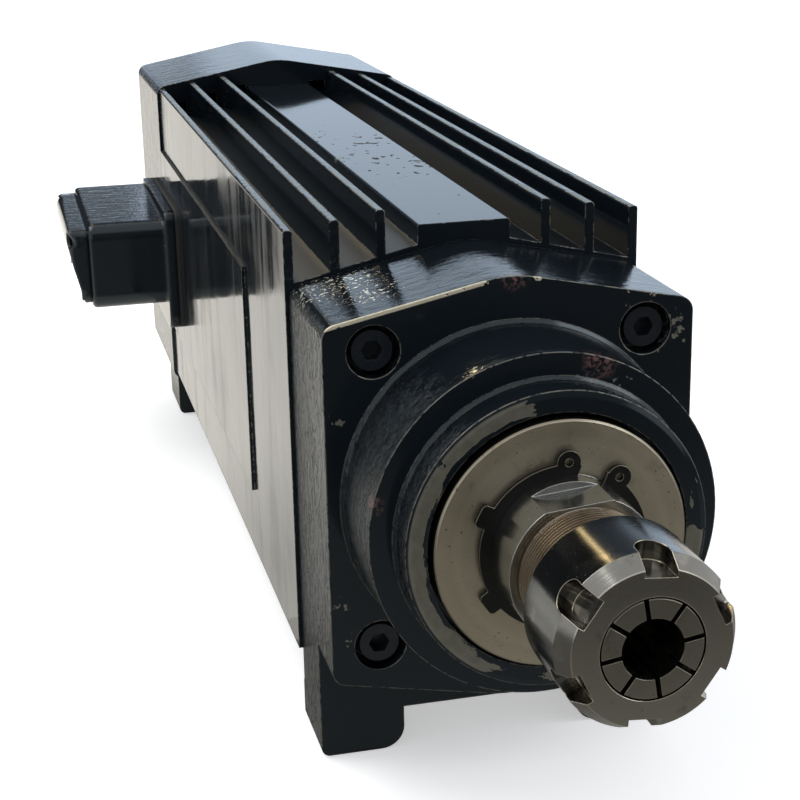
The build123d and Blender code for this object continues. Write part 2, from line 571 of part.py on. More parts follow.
# Radial fan that blows through the rear shield and forward between the fins.
with BuildPart() as cooling_fan:
    bore = FAN_SEAT_R + SEAT_GAP
    turned((S_FAN, bore), (S_FAN, FAN_R), (S_FAN + FAN_DISC_T, FAN_R), (S_FAN + FAN_DISC_T, FAN_HUB_R + 3),
           (S_FAN + FAN_DISC_T + 3, FAN_HUB_R), (S_FAN + FAN_L, FAN_HUB_R - 1), (S_FAN + FAN_L, bore))
    with BuildSketch(cross(S_FAN + FAN_DISC_T)):
        with PolarLocations((FAN_HUB_R - 2 + FAN_R) / 2, BLADES):
            Rectangle(FAN_R - FAN_HUB_R + 2, BLADE_T)
    extrude(amount=-(FAN_L - FAN_DISC_T - 3))

with BuildPart() as fan_retaining_ring:
    with BuildSketch(cross(clip_at)):
        Circle(CLIP_R)
        Circle(FAN_SEAT_R - 0.8 + SEAT_GAP, mode=Mode.SUBTRACT)
        with Locations((0, CLIP_R)):
            Rectangle(5, 2 * (CLIP_R - FAN_SEAT_R + 2), mode=Mode.SUBTRACT)
    extrude(amount=-CLIP_T)

# ================================ BEARING CAGES ================================

# Plain rings in the place of the balls and their cages.
with BuildPart() as front_bearing_cages:
    for i in range(FRONT_COUNT):
        sleeve(FRONT_AT + i * FRONT_W + 1, FRONT_W - 2, FRONT_BORE_R + FRONT_RING_T + CAGE_GAP,
               FRONT_OUT_R - FRONT_RING_T - CAGE_GAP)

with BuildPart() as rear_bearing_cage:
    sleeve(S_REAR_BEARING + 1, REAR_W - 2, REAR_BORE_R + REAR_RING_T + CAGE_GAP, REAR_OUT_R - REAR_RING_T - CAGE_GAP)

# ================================ COLLET AND NUT ================================

head_back = -FACE_AT + COLLET_HEAD
groove_back = head_back + COLLET_GROOVE
cone_l = (COLLET_R - COLLET_FACE_R) / tan(radians(30))

with BuildPart() as collet:
    turned((-FACE_AT, COLLET_BORE_R), (-FACE_AT, COLLET_FACE_R), (-FACE_AT + cone_l, COLLET_R),
           (head_back, COLLET_R), (head_back, COLLET_GROOVE_R), (groove_back, COLLET_GROOVE_R),
           (groove_back, COLLET_R - TAN * COLLET_GROOVE), (collet_back, back_r - RUN_GAP),
           (collet_back, COLLET_BORE_R))
    for start, turn in ((-FACE_AT, SLIT_TURN), (-FACE_AT + SLIT_END, SLIT_TURN + 180 / SLITS)):
        with BuildSketch(cross(start, turn)):
            with PolarLocations(COLLET_R / 2 + 4, SLITS):
                Rectangle(COLLET_R, SLIT_W)
        extrude(amount=-(COLLET_L - SLIT_END), mode=Mode.SUBTRACT)

nut_back = -FACE_AT + NUT_L
nut_step = -FACE_AT + NUT_STEP
nut_relief = nut_back - NUT_RELIEF_L
relief_r = THREAD_R + NUT_RELIEF_GAP
claw_r = COLLET_GROOVE_R + CLAW_GAP - 0.3

with BuildPart() as collet_nut:
    turned((-FACE_AT, COLLET_FACE_R + NUT_FACE_GAP), (-FACE_AT, NUT_LIP_R), (-FACE_AT + NUT_BEVEL_L, NUT_R),
           (nut_back - 0.8, NUT_R), (nut_back, NUT_R - 0.8), (nut_back, relief_r), (nut_relief, relief_r),
           (nut_relief, root_r + RUN_GAP), (nut_step, root_r + RUN_GAP), (nut_step, COLLET_R + 1),
           (groove_back - CLAW_GAP, COLLET_R + 1),
           (groove_back - CLAW_GAP, claw_r), (head_back + CLAW_GAP, claw_r), (head_back + CLAW_GAP, COLLET_R + 0.5),
           (-FACE_AT + cone_l, COLLET_R + NUT_FACE_GAP))
    # Slots for the wrench, milled in from the rim: open at the front, round at their inner ends
    rim = [radians(NUT_SLOT_TURN + i * 360 / NUT_SLOTS) for i in range(NUT_SLOTS)]
    with BuildSketch(*[Plane(origin=(NUT_SLOT_R * cos(a), FACE_Y - FACE_AT, SHAFT_H + NUT_SLOT_R * sin(a)),
                             x_dir=(0, 1, 0), z_dir=(cos(a), 0, sin(a))) for a in rim]):
        Rectangle(2 * NUT_SLOT_L - NUT_SLOT_W, NUT_SLOT_W)
        with Locations((NUT_SLOT_L - NUT_SLOT_W / 2, 0)):
            Circle(NUT_SLOT_W / 2)
    extrude(amount=NUT_R + 1 - NUT_SLOT_R, mode=Mode.SUBTRACT)

# ================================ GUARD AND TERMINAL BOX ================================

with BuildPart() as fan_guard:
    with BuildSketch(cross(S_GUARD)):
        gable(REAR_HALF, REAR_SIDE_TOP, REAR_RIDGE, REAR_SIDE_TOP, REAR_RIDGE)
        with Locations(*[(sx * GUARD_X, sz * GUARD_Z) for sx in (-1, 1) for sz in (-1, 1)]):
            Circle(GUARD_SCREW_R + THREAD_GAP, mode=Mode.SUBTRACT)
    extrude(amount=-GUARD_T)
    # Rings of slots, crossed by spokes
    with BuildSketch(cross(S_GUARD)):
        for r in sorted(GUARD_RINGS, reverse=True):
            Circle(r + GUARD_OPEN / 2)
            Circle(r - GUARD_OPEN / 2, mode=Mode.SUBTRACT)
        for turn in (30, 90, 150):
            Rectangle(4 * BORE_R, GUARD_SPOKE, rotation=turn, mode=Mode.SUBTRACT)
    extrude(amount=-GUARD_T, mode=Mode.SUBTRACT)

with BuildPart() as guard_screws:
    guard_places = [p * Location((0, 0, 0), (180, 0, 0))
                    for p in screw_places(S_GUARD + GUARD_T, GUARD_X, GUARD_Z)]
    cap_screws(guard_places, GUARD_SCREW_R, GUARD_T + GUARD_SCREW_BITE, GUARD_SCREW_R * 1.9, GUARD_SCREW_R * 1.2)

def foot_plate():
    """Outline of the box's foot plate and its gasket."""
    with Locations((0, (BOX_FOOT_TOP - BOX_FOOT_LOW) / 2)):
        RectangleRounded(BOX_L, BOX_FOOT_TOP + BOX_FOOT_LOW, BOX_FOOT_R)


def box_outline(inset=0.0, mode=Mode.ADD):
    """Outline of the box body, lower at the front than at the back."""
    half = BOX_L / 2 - BOX_INSET - inset
    with BuildSketch() as body:
        outline((-half, -BOX_LOW + inset), (half, -BOX_LOW + inset), (half, BOX_TOP_FRONT - inset),
                (-half, BOX_TOP_REAR - inset))
        fillet(vertices(), BOX_R - inset)
    add(body.sketch, mode=mode)


lid_x = BOX_L / 2 - BOX_INSET - LID_SCREW_IN
lid_places = [(lid_x, BOX_TOP_FRONT - LID_SCREW_IN), (lid_x, -BOX_LOW + LID_SCREW_IN),
              (-lid_x, BOX_TOP_REAR - LID_SCREW_IN), (-lid_x, -BOX_LOW + LID_SCREW_IN)]
box_foot = GASKET_T + BOX_FOOT_T
box_front = box_foot + BOX_OUT

with BuildPart() as box_gasket:
    with BuildSketch(box_side(0)):
        foot_plate()
        box_outline(BOX_WALL + GASKET_IN, Mode.SUBTRACT)
    extrude(amount=GASKET_T)

with BuildPart() as terminal_box:
    with BuildSketch(box_side(box_foot)):
        box_outline()
    extrude(amount=BOX_OUT)
    fillet(faces().sort_by(Axis.X)[0].edges(), BOX_EDGE_R)
    with BuildSketch(box_side(box_foot)):
        box_outline(BOX_WALL)
    extrude(amount=BOX_OUT, mode=Mode.SUBTRACT)
    with BuildSketch(box_side(box_foot)):
        with Locations(*lid_places):
            Circle(BOX_POST_R)
    extrude(amount=BOX_OUT)
    with BuildSketch(box_side(GASKET_T)):
        foot_plate()
        with Locations(*BOX_HOLES):
            Circle(BOX_SCREW_R + THREAD_GAP, mode=Mode.SUBTRACT)
    extrude(amount=BOX_FOOT_T)
    with BuildSketch(box_side(box_front)):
        with Locations(*lid_places):
            Circle(LID_SCREW_R + THREAD_GAP)
    extrude(amount=-LID_SCREW_BITE - 2, mode=Mode.SUBTRACT)
    with BuildSketch(Plane(origin=(-REAR_HALF - box_foot - BOX_OUT / 2, BOX_MID - BOX_L / 2 + BOX_INSET, SHAFT_H),
                           x_dir=(1, 0, 0), z_dir=(0, -1, 0)).offset(-(BOX_L - 2 * BOX_INSET - BOX_WALL))):
        Circle(GLAND_R + THREAD_GAP)
    extrude(amount=-BOX_WALL, mode=Mode.SUBTRACT)

# Lid: rounded at its ends and top, and curved in towards its lower edge.
with BuildPart() as terminal_box_lid:
    with BuildSketch(box_side(box_front)):
        box_outline(LID_IN)
    extrude(amount=LID_T)
    seam = -REAR_HALF - box_front
    half = BOX_L / 2 - BOX_INSET - LID_IN
    with BuildSketch(Plane(origin=(seam, BOX_MID + half, SHAFT_H), x_dir=(-1, 0, 0), z_dir=(0, 1, 0))) as section:
        outline((0, BOX_TOP_REAR - LID_IN), (LID_T, BOX_TOP_REAR - LID_IN), (LID_T, BOX_LOW * 0.5),
                (LID_T * 0.8, 0), (LID_LOW_T, -BOX_LOW + LID_IN), (0, -BOX_LOW + LID_IN))
        fillet(vertices().filter_by(lambda v: abs(v.Y) < BOX_LOW * 0.6 and v.X > LID_T / 2), BOX_LOW)
        fillet(vertices().filter_by(lambda v: v.Y > BOX_LOW * 0.8 and v.X > LID_T / 2), LID_ROUND)
    extrude(section.sketch, amount=-BOX_L, mode=Mode.INTERSECT)
    with BuildSketch(Plane(origin=(seam, BOX_MID, SHAFT_H + BOX_TOP_REAR), x_dir=(-1, 0, 0), z_dir=(0, 0, 1))) as plan:
        outline((0, -half), (LID_T, -half), (LID_T, half), (0, half))
        fillet(vertices().filter_by(lambda v: v.X > LID_T / 2), LID_ROUND)
    extrude(plan.sketch, amount=-BOX_L, mode=Mode.INTERSECT)
    with BuildSketch(box_side(box_front)):
        with Locations(*lid_places):
            Circle(LID_SCREW_R + THREAD_GAP)
    extrude(amount=LID_T, mode=Mode.SUBTRACT)
    with BuildSketch(box_side(box_front + LID_SEAT)):
        with Locations(*lid_places):
            Circle(LID_SCREW_R * 2)
    extrude(amount=LID_T, mode=Mode.SUBTRACT)

with BuildPart() as lid_screws:
    cap_screws([box_side(box_front + LID_SEAT) * Location((u, v)) for u, v in lid_places], LID_SCREW_R,
               LID_SEAT + LID_SCREW_BITE, LID_SCREW_R * 1.8, LID_HEAD_L)

with BuildPart() as box_screws:
    cap_screws([box_side(box_foot) * Location((u, v)) for u, v in BOX_HOLES], BOX_SCREW_R,
               box_foot + BOX_SCREW_BITE, BOX_SCREW_R * 1.6, BOX_SCREW_R * 1.2)

block_l = TERMINALS * TERMINAL_PITCH
terminal_x = [(i - (TERMINALS - 1) / 2) * TERMINAL_PITCH for i in range(TERMINALS)]

with BuildPart() as terminal_block:
    with BuildSketch(box_side(box_foot)):
        Rectangle(block_l, TERMINAL_W)
    extrude(amount=TERMINAL_H)
    with BuildSketch(box_side(box_foot + TERMINAL_H)):
        with Locations(*[(x + TERMINAL_PITCH / 2, 0) for x in terminal_x[:-1]]):
            Rectangle(1.5, TERMINAL_W)
    extrude(amount=TERMINAL_RIB)

with BuildPart() as terminal_studs:
    with BuildSketch(box_side(box_foot + TERMINAL_H)):
        with Locations(*[(x, 0) for x in terminal_x]):
            Circle(STUD_R)
    extrude(amount=STUD_L)
    with BuildSketch(box_side(box_foot + TERMINAL_H)):
        with Locations(*[(x, 0) for x in terminal_x]):
            RegularPolygon(STUD_R * 1.9, 6)
    extrude(amount=STUD_R * 1.6)

# Cable gland in the back wall of the box.
gland_y = BOX_MID + BOX_L / 2 - BOX_INSET
gland = Plane(origin=(-REAR_HALF - box_foot - BOX_OUT / 2, gland_y, SHAFT_H), x_dir=(-1, 0, 0), z_dir=(0, 1, 0))

with BuildPart() as gland_body:
    with BuildSketch(gland):
        RegularPolygon(GLAND_HEX_R, 6)
    extrude(amount=GLAND_HEX_L)
    with BuildSketch(gland.offset(-BOX_WALL)):
        Circle(GLAND_R)
    extrude(amount=BOX_WALL + GLAND_HEX_L + GLAND_THREAD_L)
    with BuildSketch(gland.offset(-BOX_WALL)):
        Circle(GLAND_CABLE_R + 1)
    extrude(amount=BOX_WALL + GLAND_HEX_L + GLAND_THREAD_L, mode=Mode.SUBTRACT)

with BuildPart() as gland_nut:
    with BuildSketch(gland.offset(GLAND_HEX_L)):
        Circle(GLAND_HEX_R)
    extrude(amount=GLAND_NUT_L)
    fillet(faces().sort_by(Axis.Y)[-1].edges(), 5)
    with BuildSketch(gland.offset(GLAND_HEX_L)):
        Circle(GLAND_R + THREAD_GAP)
    extrude(amount=GLAND_THREAD_L + THREAD_GAP, mode=Mode.SUBTRACT)
    with BuildSketch(gland.offset(GLAND_HEX_L)):
        Circle(GLAND_CABLE_R)
    extrude(amount=GLAND_NUT_L, mode=Mode.SUBTRACT)

# ================================ EXPORT ================================

PIECES = {
    "housing": housing,
    "front_shield": front_shield,
    "rear_shield": rear_shield,
    "front_shield_screws": front_shield_screws,
    "rear_shield_screws": rear_shield_screws,
    "front_bearing_outer_rings": front_bearing_outer_rings,
    "front_bearing_cover": front_bearing_cover,
    "bearing_cover_screws": bearing_cover_screws,
    "rear_bearing_outer_ring": rear_bearing_outer_ring,
    "wave_spring": wave_spring,
    "stator_core": stator_core,
    "stator_windings": stator_windings,
    "fan_guard": fan_guard,
    "guard_screws": guard_screws,
    "box_gasket": box_gasket,
    "terminal_box": terminal_box,
    "box_screws": box_screws,
    "terminal_box_lid": terminal_box_lid,
    "lid_screws": lid_screws,
    "terminal_block": terminal_block,
    "terminal_studs": terminal_studs,
    "gland_body": gland_body,
    "gland_nut": gland_nut,
    "spindle_shaft": spindle_shaft,
    "labyrinth_disc": labyrinth_disc,
    "retaining_ring": retaining_ring,
    "front_bearing_inner_rings": front_bearing_inner_rings,
    "rear_bearing_inner_ring": rear_bearing_inner_ring,
    "rotor_core": rotor_core,
    "rotor_end_rings": rotor_end_rings,
    "cooling_fan": cooling_fan,
    "fan_retaining_ring": fan_retaining_ring,
    "front_bearing_cages": front_bearing_cages,
    "rear_bearing_cage": rear_bearing_cage,
    "collet": collet,
    "collet_nut": collet_nut,
}

os.makedirs("parts", exist_ok=True)
for label, piece in PIECES.items():
    piece.part.label = label
    export_step(piece.part, f"parts/{label}.step")
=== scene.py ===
# %% [markdown]
# # A motor spindle in gloss paint and bare steel
# The object is an electric motor whose shaft is also a tool spindle. Its solids come in finished
# from the CAD model, so this lesson is mostly about surfaces: thick gloss paint over rough
# castings, paint that has chipped to metal, and turned, ground and blackened steel on the nose.
# The few things that the solids leave plain, such as the nose thread, are made here.

# %% Load the frame
import bpy
import math
from mathutils import Matrix, Vector


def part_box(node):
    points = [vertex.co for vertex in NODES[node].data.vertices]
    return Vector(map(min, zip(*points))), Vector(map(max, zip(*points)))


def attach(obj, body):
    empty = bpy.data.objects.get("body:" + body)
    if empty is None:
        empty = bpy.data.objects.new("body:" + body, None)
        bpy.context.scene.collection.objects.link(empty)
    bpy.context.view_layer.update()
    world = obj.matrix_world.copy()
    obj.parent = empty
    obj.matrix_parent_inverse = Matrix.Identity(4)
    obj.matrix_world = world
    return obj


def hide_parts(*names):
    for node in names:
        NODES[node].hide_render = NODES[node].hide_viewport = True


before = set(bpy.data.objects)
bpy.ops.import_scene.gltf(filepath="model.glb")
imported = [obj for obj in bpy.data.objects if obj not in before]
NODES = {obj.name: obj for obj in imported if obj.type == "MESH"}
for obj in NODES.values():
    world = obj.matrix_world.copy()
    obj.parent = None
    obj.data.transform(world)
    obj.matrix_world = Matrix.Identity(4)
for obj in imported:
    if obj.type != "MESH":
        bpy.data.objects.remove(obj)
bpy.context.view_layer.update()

# %% [markdown]
# ## Where things are
# Places are in metres, in the frame's own directions: +X to the right seen from the nose, +Y along
# the shaft to the fan, +Z up. Most are read from the loaded pieces, so that a mark stays on its
# piece. The shaft lies on x = 0.

# %% Places on the object
def radius_of(name):
    """Half the width of a round piece on the shaft."""
    low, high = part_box(name)
    return (high.x - low.x) / 2


SHAFT_Z = 0.1
SMALL_STEP_LENGTH, BOSS_LENGTH = 0.0121, 0.0464
HOUSING_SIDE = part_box("housing")[1].x
SHIELD_LOW, SHIELD_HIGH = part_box("front_shield")
NECK_Y = SHIELD_LOW.y                     # front of the small step of the boss
STEP_Y = NECK_Y + SMALL_STEP_LENGTH       # front of its large step
FACE_Y = NECK_Y + BOSS_LENGTH             # flange face
NUT_R, DISC_R = radius_of("collet_nut"), radius_of("labyrinth_disc")
print("flange face at y", round(FACE_Y, 4), "nut and disc radius", round(NUT_R, 4),
      round(DISC_R, 4))

# %% [markdown]
# ## The camera
# The spindle is seen from in front of its nose, from the left and above, and from close by, so
# its nose looks large and its fan end small. The camera gets its place, its turn and its lens at
# once: the three columns of its matrix are its right, its up and its back, and the small roll is
# a turn about the last one. The lens is known in pixels of the render, and the width of the
# sensor turns it into millimetres.

# %% Set the camera
CAMERA_AT = Vector((-0.1563, -0.7349, 0.2995))
YAW, PITCH, ROLL = (math.radians(a) for a in (-13.536, 17.946, -1.196))
LENS_PIXELS, RENDER_PIXELS, SENSOR = 1755.9, 800, 36

camera_back = Vector((math.sin(YAW) * math.cos(PITCH), -math.cos(YAW) * math.cos(PITCH),
                      math.sin(PITCH)))
level = Vector((math.cos(YAW), math.sin(YAW), 0))
upright = camera_back.cross(level)
camera_right = level * math.cos(ROLL) + upright * math.sin(ROLL)
camera_up = upright * math.cos(ROLL) - level * math.sin(ROLL)
camera = bpy.data.objects.new("camera", bpy.data.cameras.new("camera"))
bpy.context.scene.collection.objects.link(camera)
camera.matrix_world = Matrix.Translation(CAMERA_AT) @ Matrix(
    (camera_right, camera_up, camera_back)).transposed().to_4x4()
camera.data.sensor_width = SENSOR
camera.data.lens = LENS_PIXELS / RENDER_PIXELS * SENSOR
camera.data.clip_start = 0.01
bpy.context.scene.camera = camera
print("lens", round(camera.data.lens, 2), "mm")

# %% [markdown]
# ## Wiring shaders with few words
# A procedural material is a tree of small nodes. The first helper adds one node and wires its
# inputs: a number is typed into the socket, and a socket is linked to it. Each sign in a formula
# is a node of its own, so the usual ones get a short name.

# %% Helpers that add nodes
def add(tree, kind, inputs=None, **settings):
    """Adds a node of this kind, and wires or sets its inputs."""
    node = tree.nodes.new("ShaderNode" + kind)
    for key, value in settings.items():
        setattr(node, key, value)
    for key, value in (inputs or {}).items():
        if isinstance(value, bpy.types.NodeSocket):
            tree.links.new(value, node.inputs[key])
        else:
            node.inputs[key].default_value = value
    return node


def maths(tree, operation, a, b=0.0):
    return add(tree, "Math", {0: a, 1: b}, operation=operation).outputs[0]


def plus(tree, a, b):
    return maths(tree, "ADD", a, b)


def minus(tree, a, b):
    return maths(tree, "SUBTRACT", a, b)


def times(tree, a, b):
    return maths(tree, "MULTIPLY", a, b)


def larger(tree, a, b):
    return maths(tree, "MAXIMUM", a, b)


def unsigned(tree, a):
    return maths(tree, "ABSOLUTE", a)


def split(tree, vector):
    return add(tree, "SeparateXYZ", {0: vector}).outputs


print("node helpers ready")

# %% [markdown]
# ## Patterns to build with
# Four things make every surface here: noise, a smooth step between two levels, a mix of two
# colours and the distance to a place. They read Object coordinates, which are metres on these
# pieces, so a pattern keeps its size on each piece and needs no unwrapping.

# %% Helpers that make patterns
def ease(tree, value, low, high, at_low=0.0, at_high=1.0):
    """at_low at low and at_high at high, with a smooth change between. low may be the larger."""
    return add(tree, "MapRange", {"Value": value, "From Min": low, "From Max": high,
                                  "To Min": at_low, "To Max": at_high},
               interpolation_type="SMOOTHSTEP").outputs[0]


def noise(tree, place, scale, detail=3.0, rough=0.55, stretch=(1, 1, 1)):
    """Noise of about 0.2 to 0.8, with this many features in a metre. A stretch below 1 draws them
    out along that axis."""
    if stretch != (1, 1, 1):
        place = add(tree, "Mapping", {"Vector": place, "Scale": stretch}).outputs[0]
    return add(tree, "TexNoise", {"Vector": place, "Scale": scale, "Detail": detail,
                                  "Roughness": rough}).outputs[0]


def mix(tree, share, a, b):
    """Colour a where share is 0, colour b where it is 1."""
    node = add(tree, "Mix", {0: share}, data_type="RGBA")
    for index, value in ((6, a), (7, b)):
        if isinstance(value, bpy.types.NodeSocket):
            tree.links.new(value, node.inputs[index])
        else:
            node.inputs[index].default_value = (*value, 1)
    return node.outputs[2]


def distance(tree, place, point):
    return add(tree, "VectorMath", {0: place, 1: point}, operation="DISTANCE").outputs["Value"]


def near(tree, place, point, reach):
    """1 up to a quarter of this reach from the point, falling to 0 at the whole of it."""
    return ease(tree, distance(tree, place, point), reach, reach * 0.25)


def bump(tree, height, depth, strength=1.0, normal=None):
    """A normal tilted by the height, which is worth this depth in metres for each 1."""
    inputs = {"Height": height, "Distance": depth, "Strength": strength}
    if normal is not None:
        inputs["Normal"] = normal
    return add(tree, "Bump", inputs).outputs[0]


print("pattern helpers ready")

# %% [markdown]
# ## Starting a material and putting it on
# Every finish is one Principled shader fed by patterns. The values of the shader that don't vary
# are typed into its own sockets, so that they survive the export.

# %% Helpers that start and place a material
def new_material(name):
    """An empty material. Gives the material, its tree, Object coordinates and the shader."""
    material = bpy.data.materials.new(name)
    material.use_nodes = True
    tree = material.node_tree
    tree.nodes.clear()
    place = add(tree, "TexCoord").outputs["Object"]
    shader = add(tree, "BsdfPrincipled")
    add(tree, "OutputMaterial", {0: shader.outputs[0]})
    return material, tree, place, shader


def wire(tree, shader, **inputs):
    """Sets or links the shader's inputs, named with _ for a space."""
    for key, value in inputs.items():
        socket = shader.inputs[key.replace("_", " ")]
        if isinstance(value, bpy.types.NodeSocket):
            tree.links.new(value, socket)
        elif hasattr(value, "__len__"):
            socket.default_value = (*value, 1)
        else:
            socket.default_value = value


def dress(material, *names):
    """Puts the material on these pieces of the frame."""
    for name in names:
        data = NODES[name].data
        data.materials.clear()
        data.materials.append(material)


print("material helpers ready")

# %% [markdown]
# ## Soft edges
# No real edge is sharp, and light catches on it. The Bevel node rounds the shading of sharp edges
# without a change of the mesh. It also tells where the edges are, because its normal turns away
# from the surface's own normal there.

# %% Find the edges
BEVEL_SAMPLES = 6
EDGE_TURN = (0.995, 0.90)       # cosine between the two normals off the edges, and on them


def surface_normal(tree):
    return add(tree, "NewGeometry").outputs["Normal"]


def edge_mask(tree, surface, radius):
    """Normal with rounded edges, and a mask that is 1 on the edges."""
    soft_edge = add(tree, "Bevel", {"Radius": radius}, samples=BEVEL_SAMPLES).outputs[0]
    turn = add(tree, "VectorMath", {0: surface, 1: soft_edge}, operation="DOT_PRODUCT")
    return soft_edge, ease(tree, turn.outputs["Value"], *EDGE_TURN)


print("edges turn by up to", round(math.degrees(math.acos(EDGE_TURN[1]))), "degrees in the mask")

# %% [markdown]
# ## Gloss paint over castings
# The paint is a thick coat of blue-black enamel. A look like this comes from three things: an
# almost black colour, a smooth top coat that mirrors its surroundings at a flat angle, and
# damage. The damage is one mask: fine noise, raised where the part was knocked and along its
# sharp edges, and cut off at a level. Where the mask is on, the surface is bare metal instead.

# %% Colours of the paint
ENAMEL_DARK = (0.0036, 0.0056, 0.0080)
ENAMEL_LIGHT = (0.0072, 0.0108, 0.0148)
ENAMEL_IOR = 1.48
ENAMEL_TINT = (0.80, 0.93, 1.0)           # of what the enamel mirrors
DIRT = (0.035, 0.034, 0.030)
SPECK = (0.012, 0.012, 0.012)
PRIMER_RED = (0.19, 0.095, 0.09)
PALE_WEAR = (0.21, 0.205, 0.185)
BARE_METAL = (0.30, 0.285, 0.235)
DULL_METAL, WORN_METAL = (0.13, 0.13, 0.11), (0.30, 0.29, 0.24)
# Near white: paints the glints of bare grit and a highlight along one edge
PAINTED_GLINT = (0.95, 0.88, 0.68)
print("enamel from", ENAMEL_DARK, "to", ENAMEL_LIGHT)

# %% Masks of chips and scuffs
CHIP_NOISE = (420, 4, 0.6)                # scale, detail and roughness, then the stretch
RUB_NOISE = (700, 4, 0.7, (1, 0.4, 1))


def chip_mask(tree, place, edge, knocks, chips, edge_wear):
    """1 where the enamel has chipped off."""
    level = plus(tree, noise(tree, place, *CHIP_NOISE), times(tree, edge, edge_wear))
    for point, reach, amount in knocks:
        level = plus(tree, level, times(tree, near(tree, place, point, reach), amount))
    return ease(tree, level, chips, chips + 0.02)


def scuff_mask(tree, place, scuffs):
    """1 where something red was rubbed onto the enamel, in fine streaks."""
    rubbed = 0.0
    for point, reach in scuffs:
        streaks = ease(tree, noise(tree, place, *RUB_NOISE), 0.46, 0.60)
        rubbed = larger(tree, rubbed, times(tree, near(tree, place, point, reach), streaks))
    return rubbed


print("chips of about", round(1000 / CHIP_NOISE[0], 1), "mm")

# %% [markdown]
# ## What shows through the paint
# Enamel hides colour but not shape. The sand mould leaves a grain of pits and lumps on the sides
# of a casting, with cracks where the paint didn't close over it. On top, where the paint lay
# thick, it ran and dimpled. The flat sides of the housing hold runs of dirt and are a little
# wavy, which bends what they mirror.

# %% Textures under and on the paint
PIT_NOISE = (820, 3, 0.65, (1, 1, 0.55))
SWELL_NOISE = (240, 2, 0.5, (1, 1, 0.5))
VEIN_NOISE = (330, 3, 0.6, (1, 1, 0.3))
RUN_NOISE, DIMPLE_NOISE = (230, 3, 0.6, (0.35, 1, 1)), (700, 2, 0.5)
DIRT_NOISE, SMEAR_NOISE = (60, 4, 0.65, (1, 1, 0.12)), (17, 3, 0.6, (1, 0.6, 1))
WAVE_NOISE, WAVE_HEIGHT = (28, 3, 0.5, (1, 0.5, 1)), 1.6
OUTER_SKIN = (0.0022, 0.0016)             # depth below the housing's side where dirt starts


def cast_texture(tree, place, sides, grain):
    """Height of the cast lumps on the sides, and a mask of the cracks between them."""
    lumps = plus(tree, noise(tree, place, *PIT_NOISE),
                 times(tree, noise(tree, place, *SWELL_NOISE), 1.4))
    off_vein = unsigned(tree, minus(tree, noise(tree, place, *VEIN_NOISE), 0.53))
    return (times(tree, lumps, times(tree, sides, grain)),
            times(tree, sides, ease(tree, off_vein, 0.035, 0.010)))


def paint_runs(tree, place):
    """Height of the runs and dimples in thick paint."""
    return plus(tree, noise(tree, place, *RUN_NOISE),
                times(tree, noise(tree, place, *DIMPLE_NOISE), 0.3))


def side_dirt(tree, place, sides):
    """A mask of the dirt on the housing's outermost sides, and the height of their waves."""
    depth = [HOUSING_SIDE - skin for skin in OUTER_SKIN]
    outside = times(tree, sides, ease(tree, unsigned(tree, split(tree, place)[0]), *depth))
    marks = plus(tree, times(tree, noise(tree, place, *DIRT_NOISE), 0.6),
                 times(tree, noise(tree, place, *SMEAR_NOISE), 0.4))
    waves = times(tree, times(tree, outside, noise(tree, place, *WAVE_NOISE)), WAVE_HEIGHT)
    return times(tree, ease(tree, marks, 0.42, 0.66), outside), waves


print("dirt lies beyond x =", round(HOUSING_SIDE - OUTER_SKIN[0], 4))

# %% [markdown]
# ## The whole coat
# The masks and textures meet in one finish, and its numbers say how much of each a part has.

# %% Make a painted finish
PAINT_DEPTH = 0.0002
BARE_ROUGH, BARE_METALLIC = 0.28, 0.75


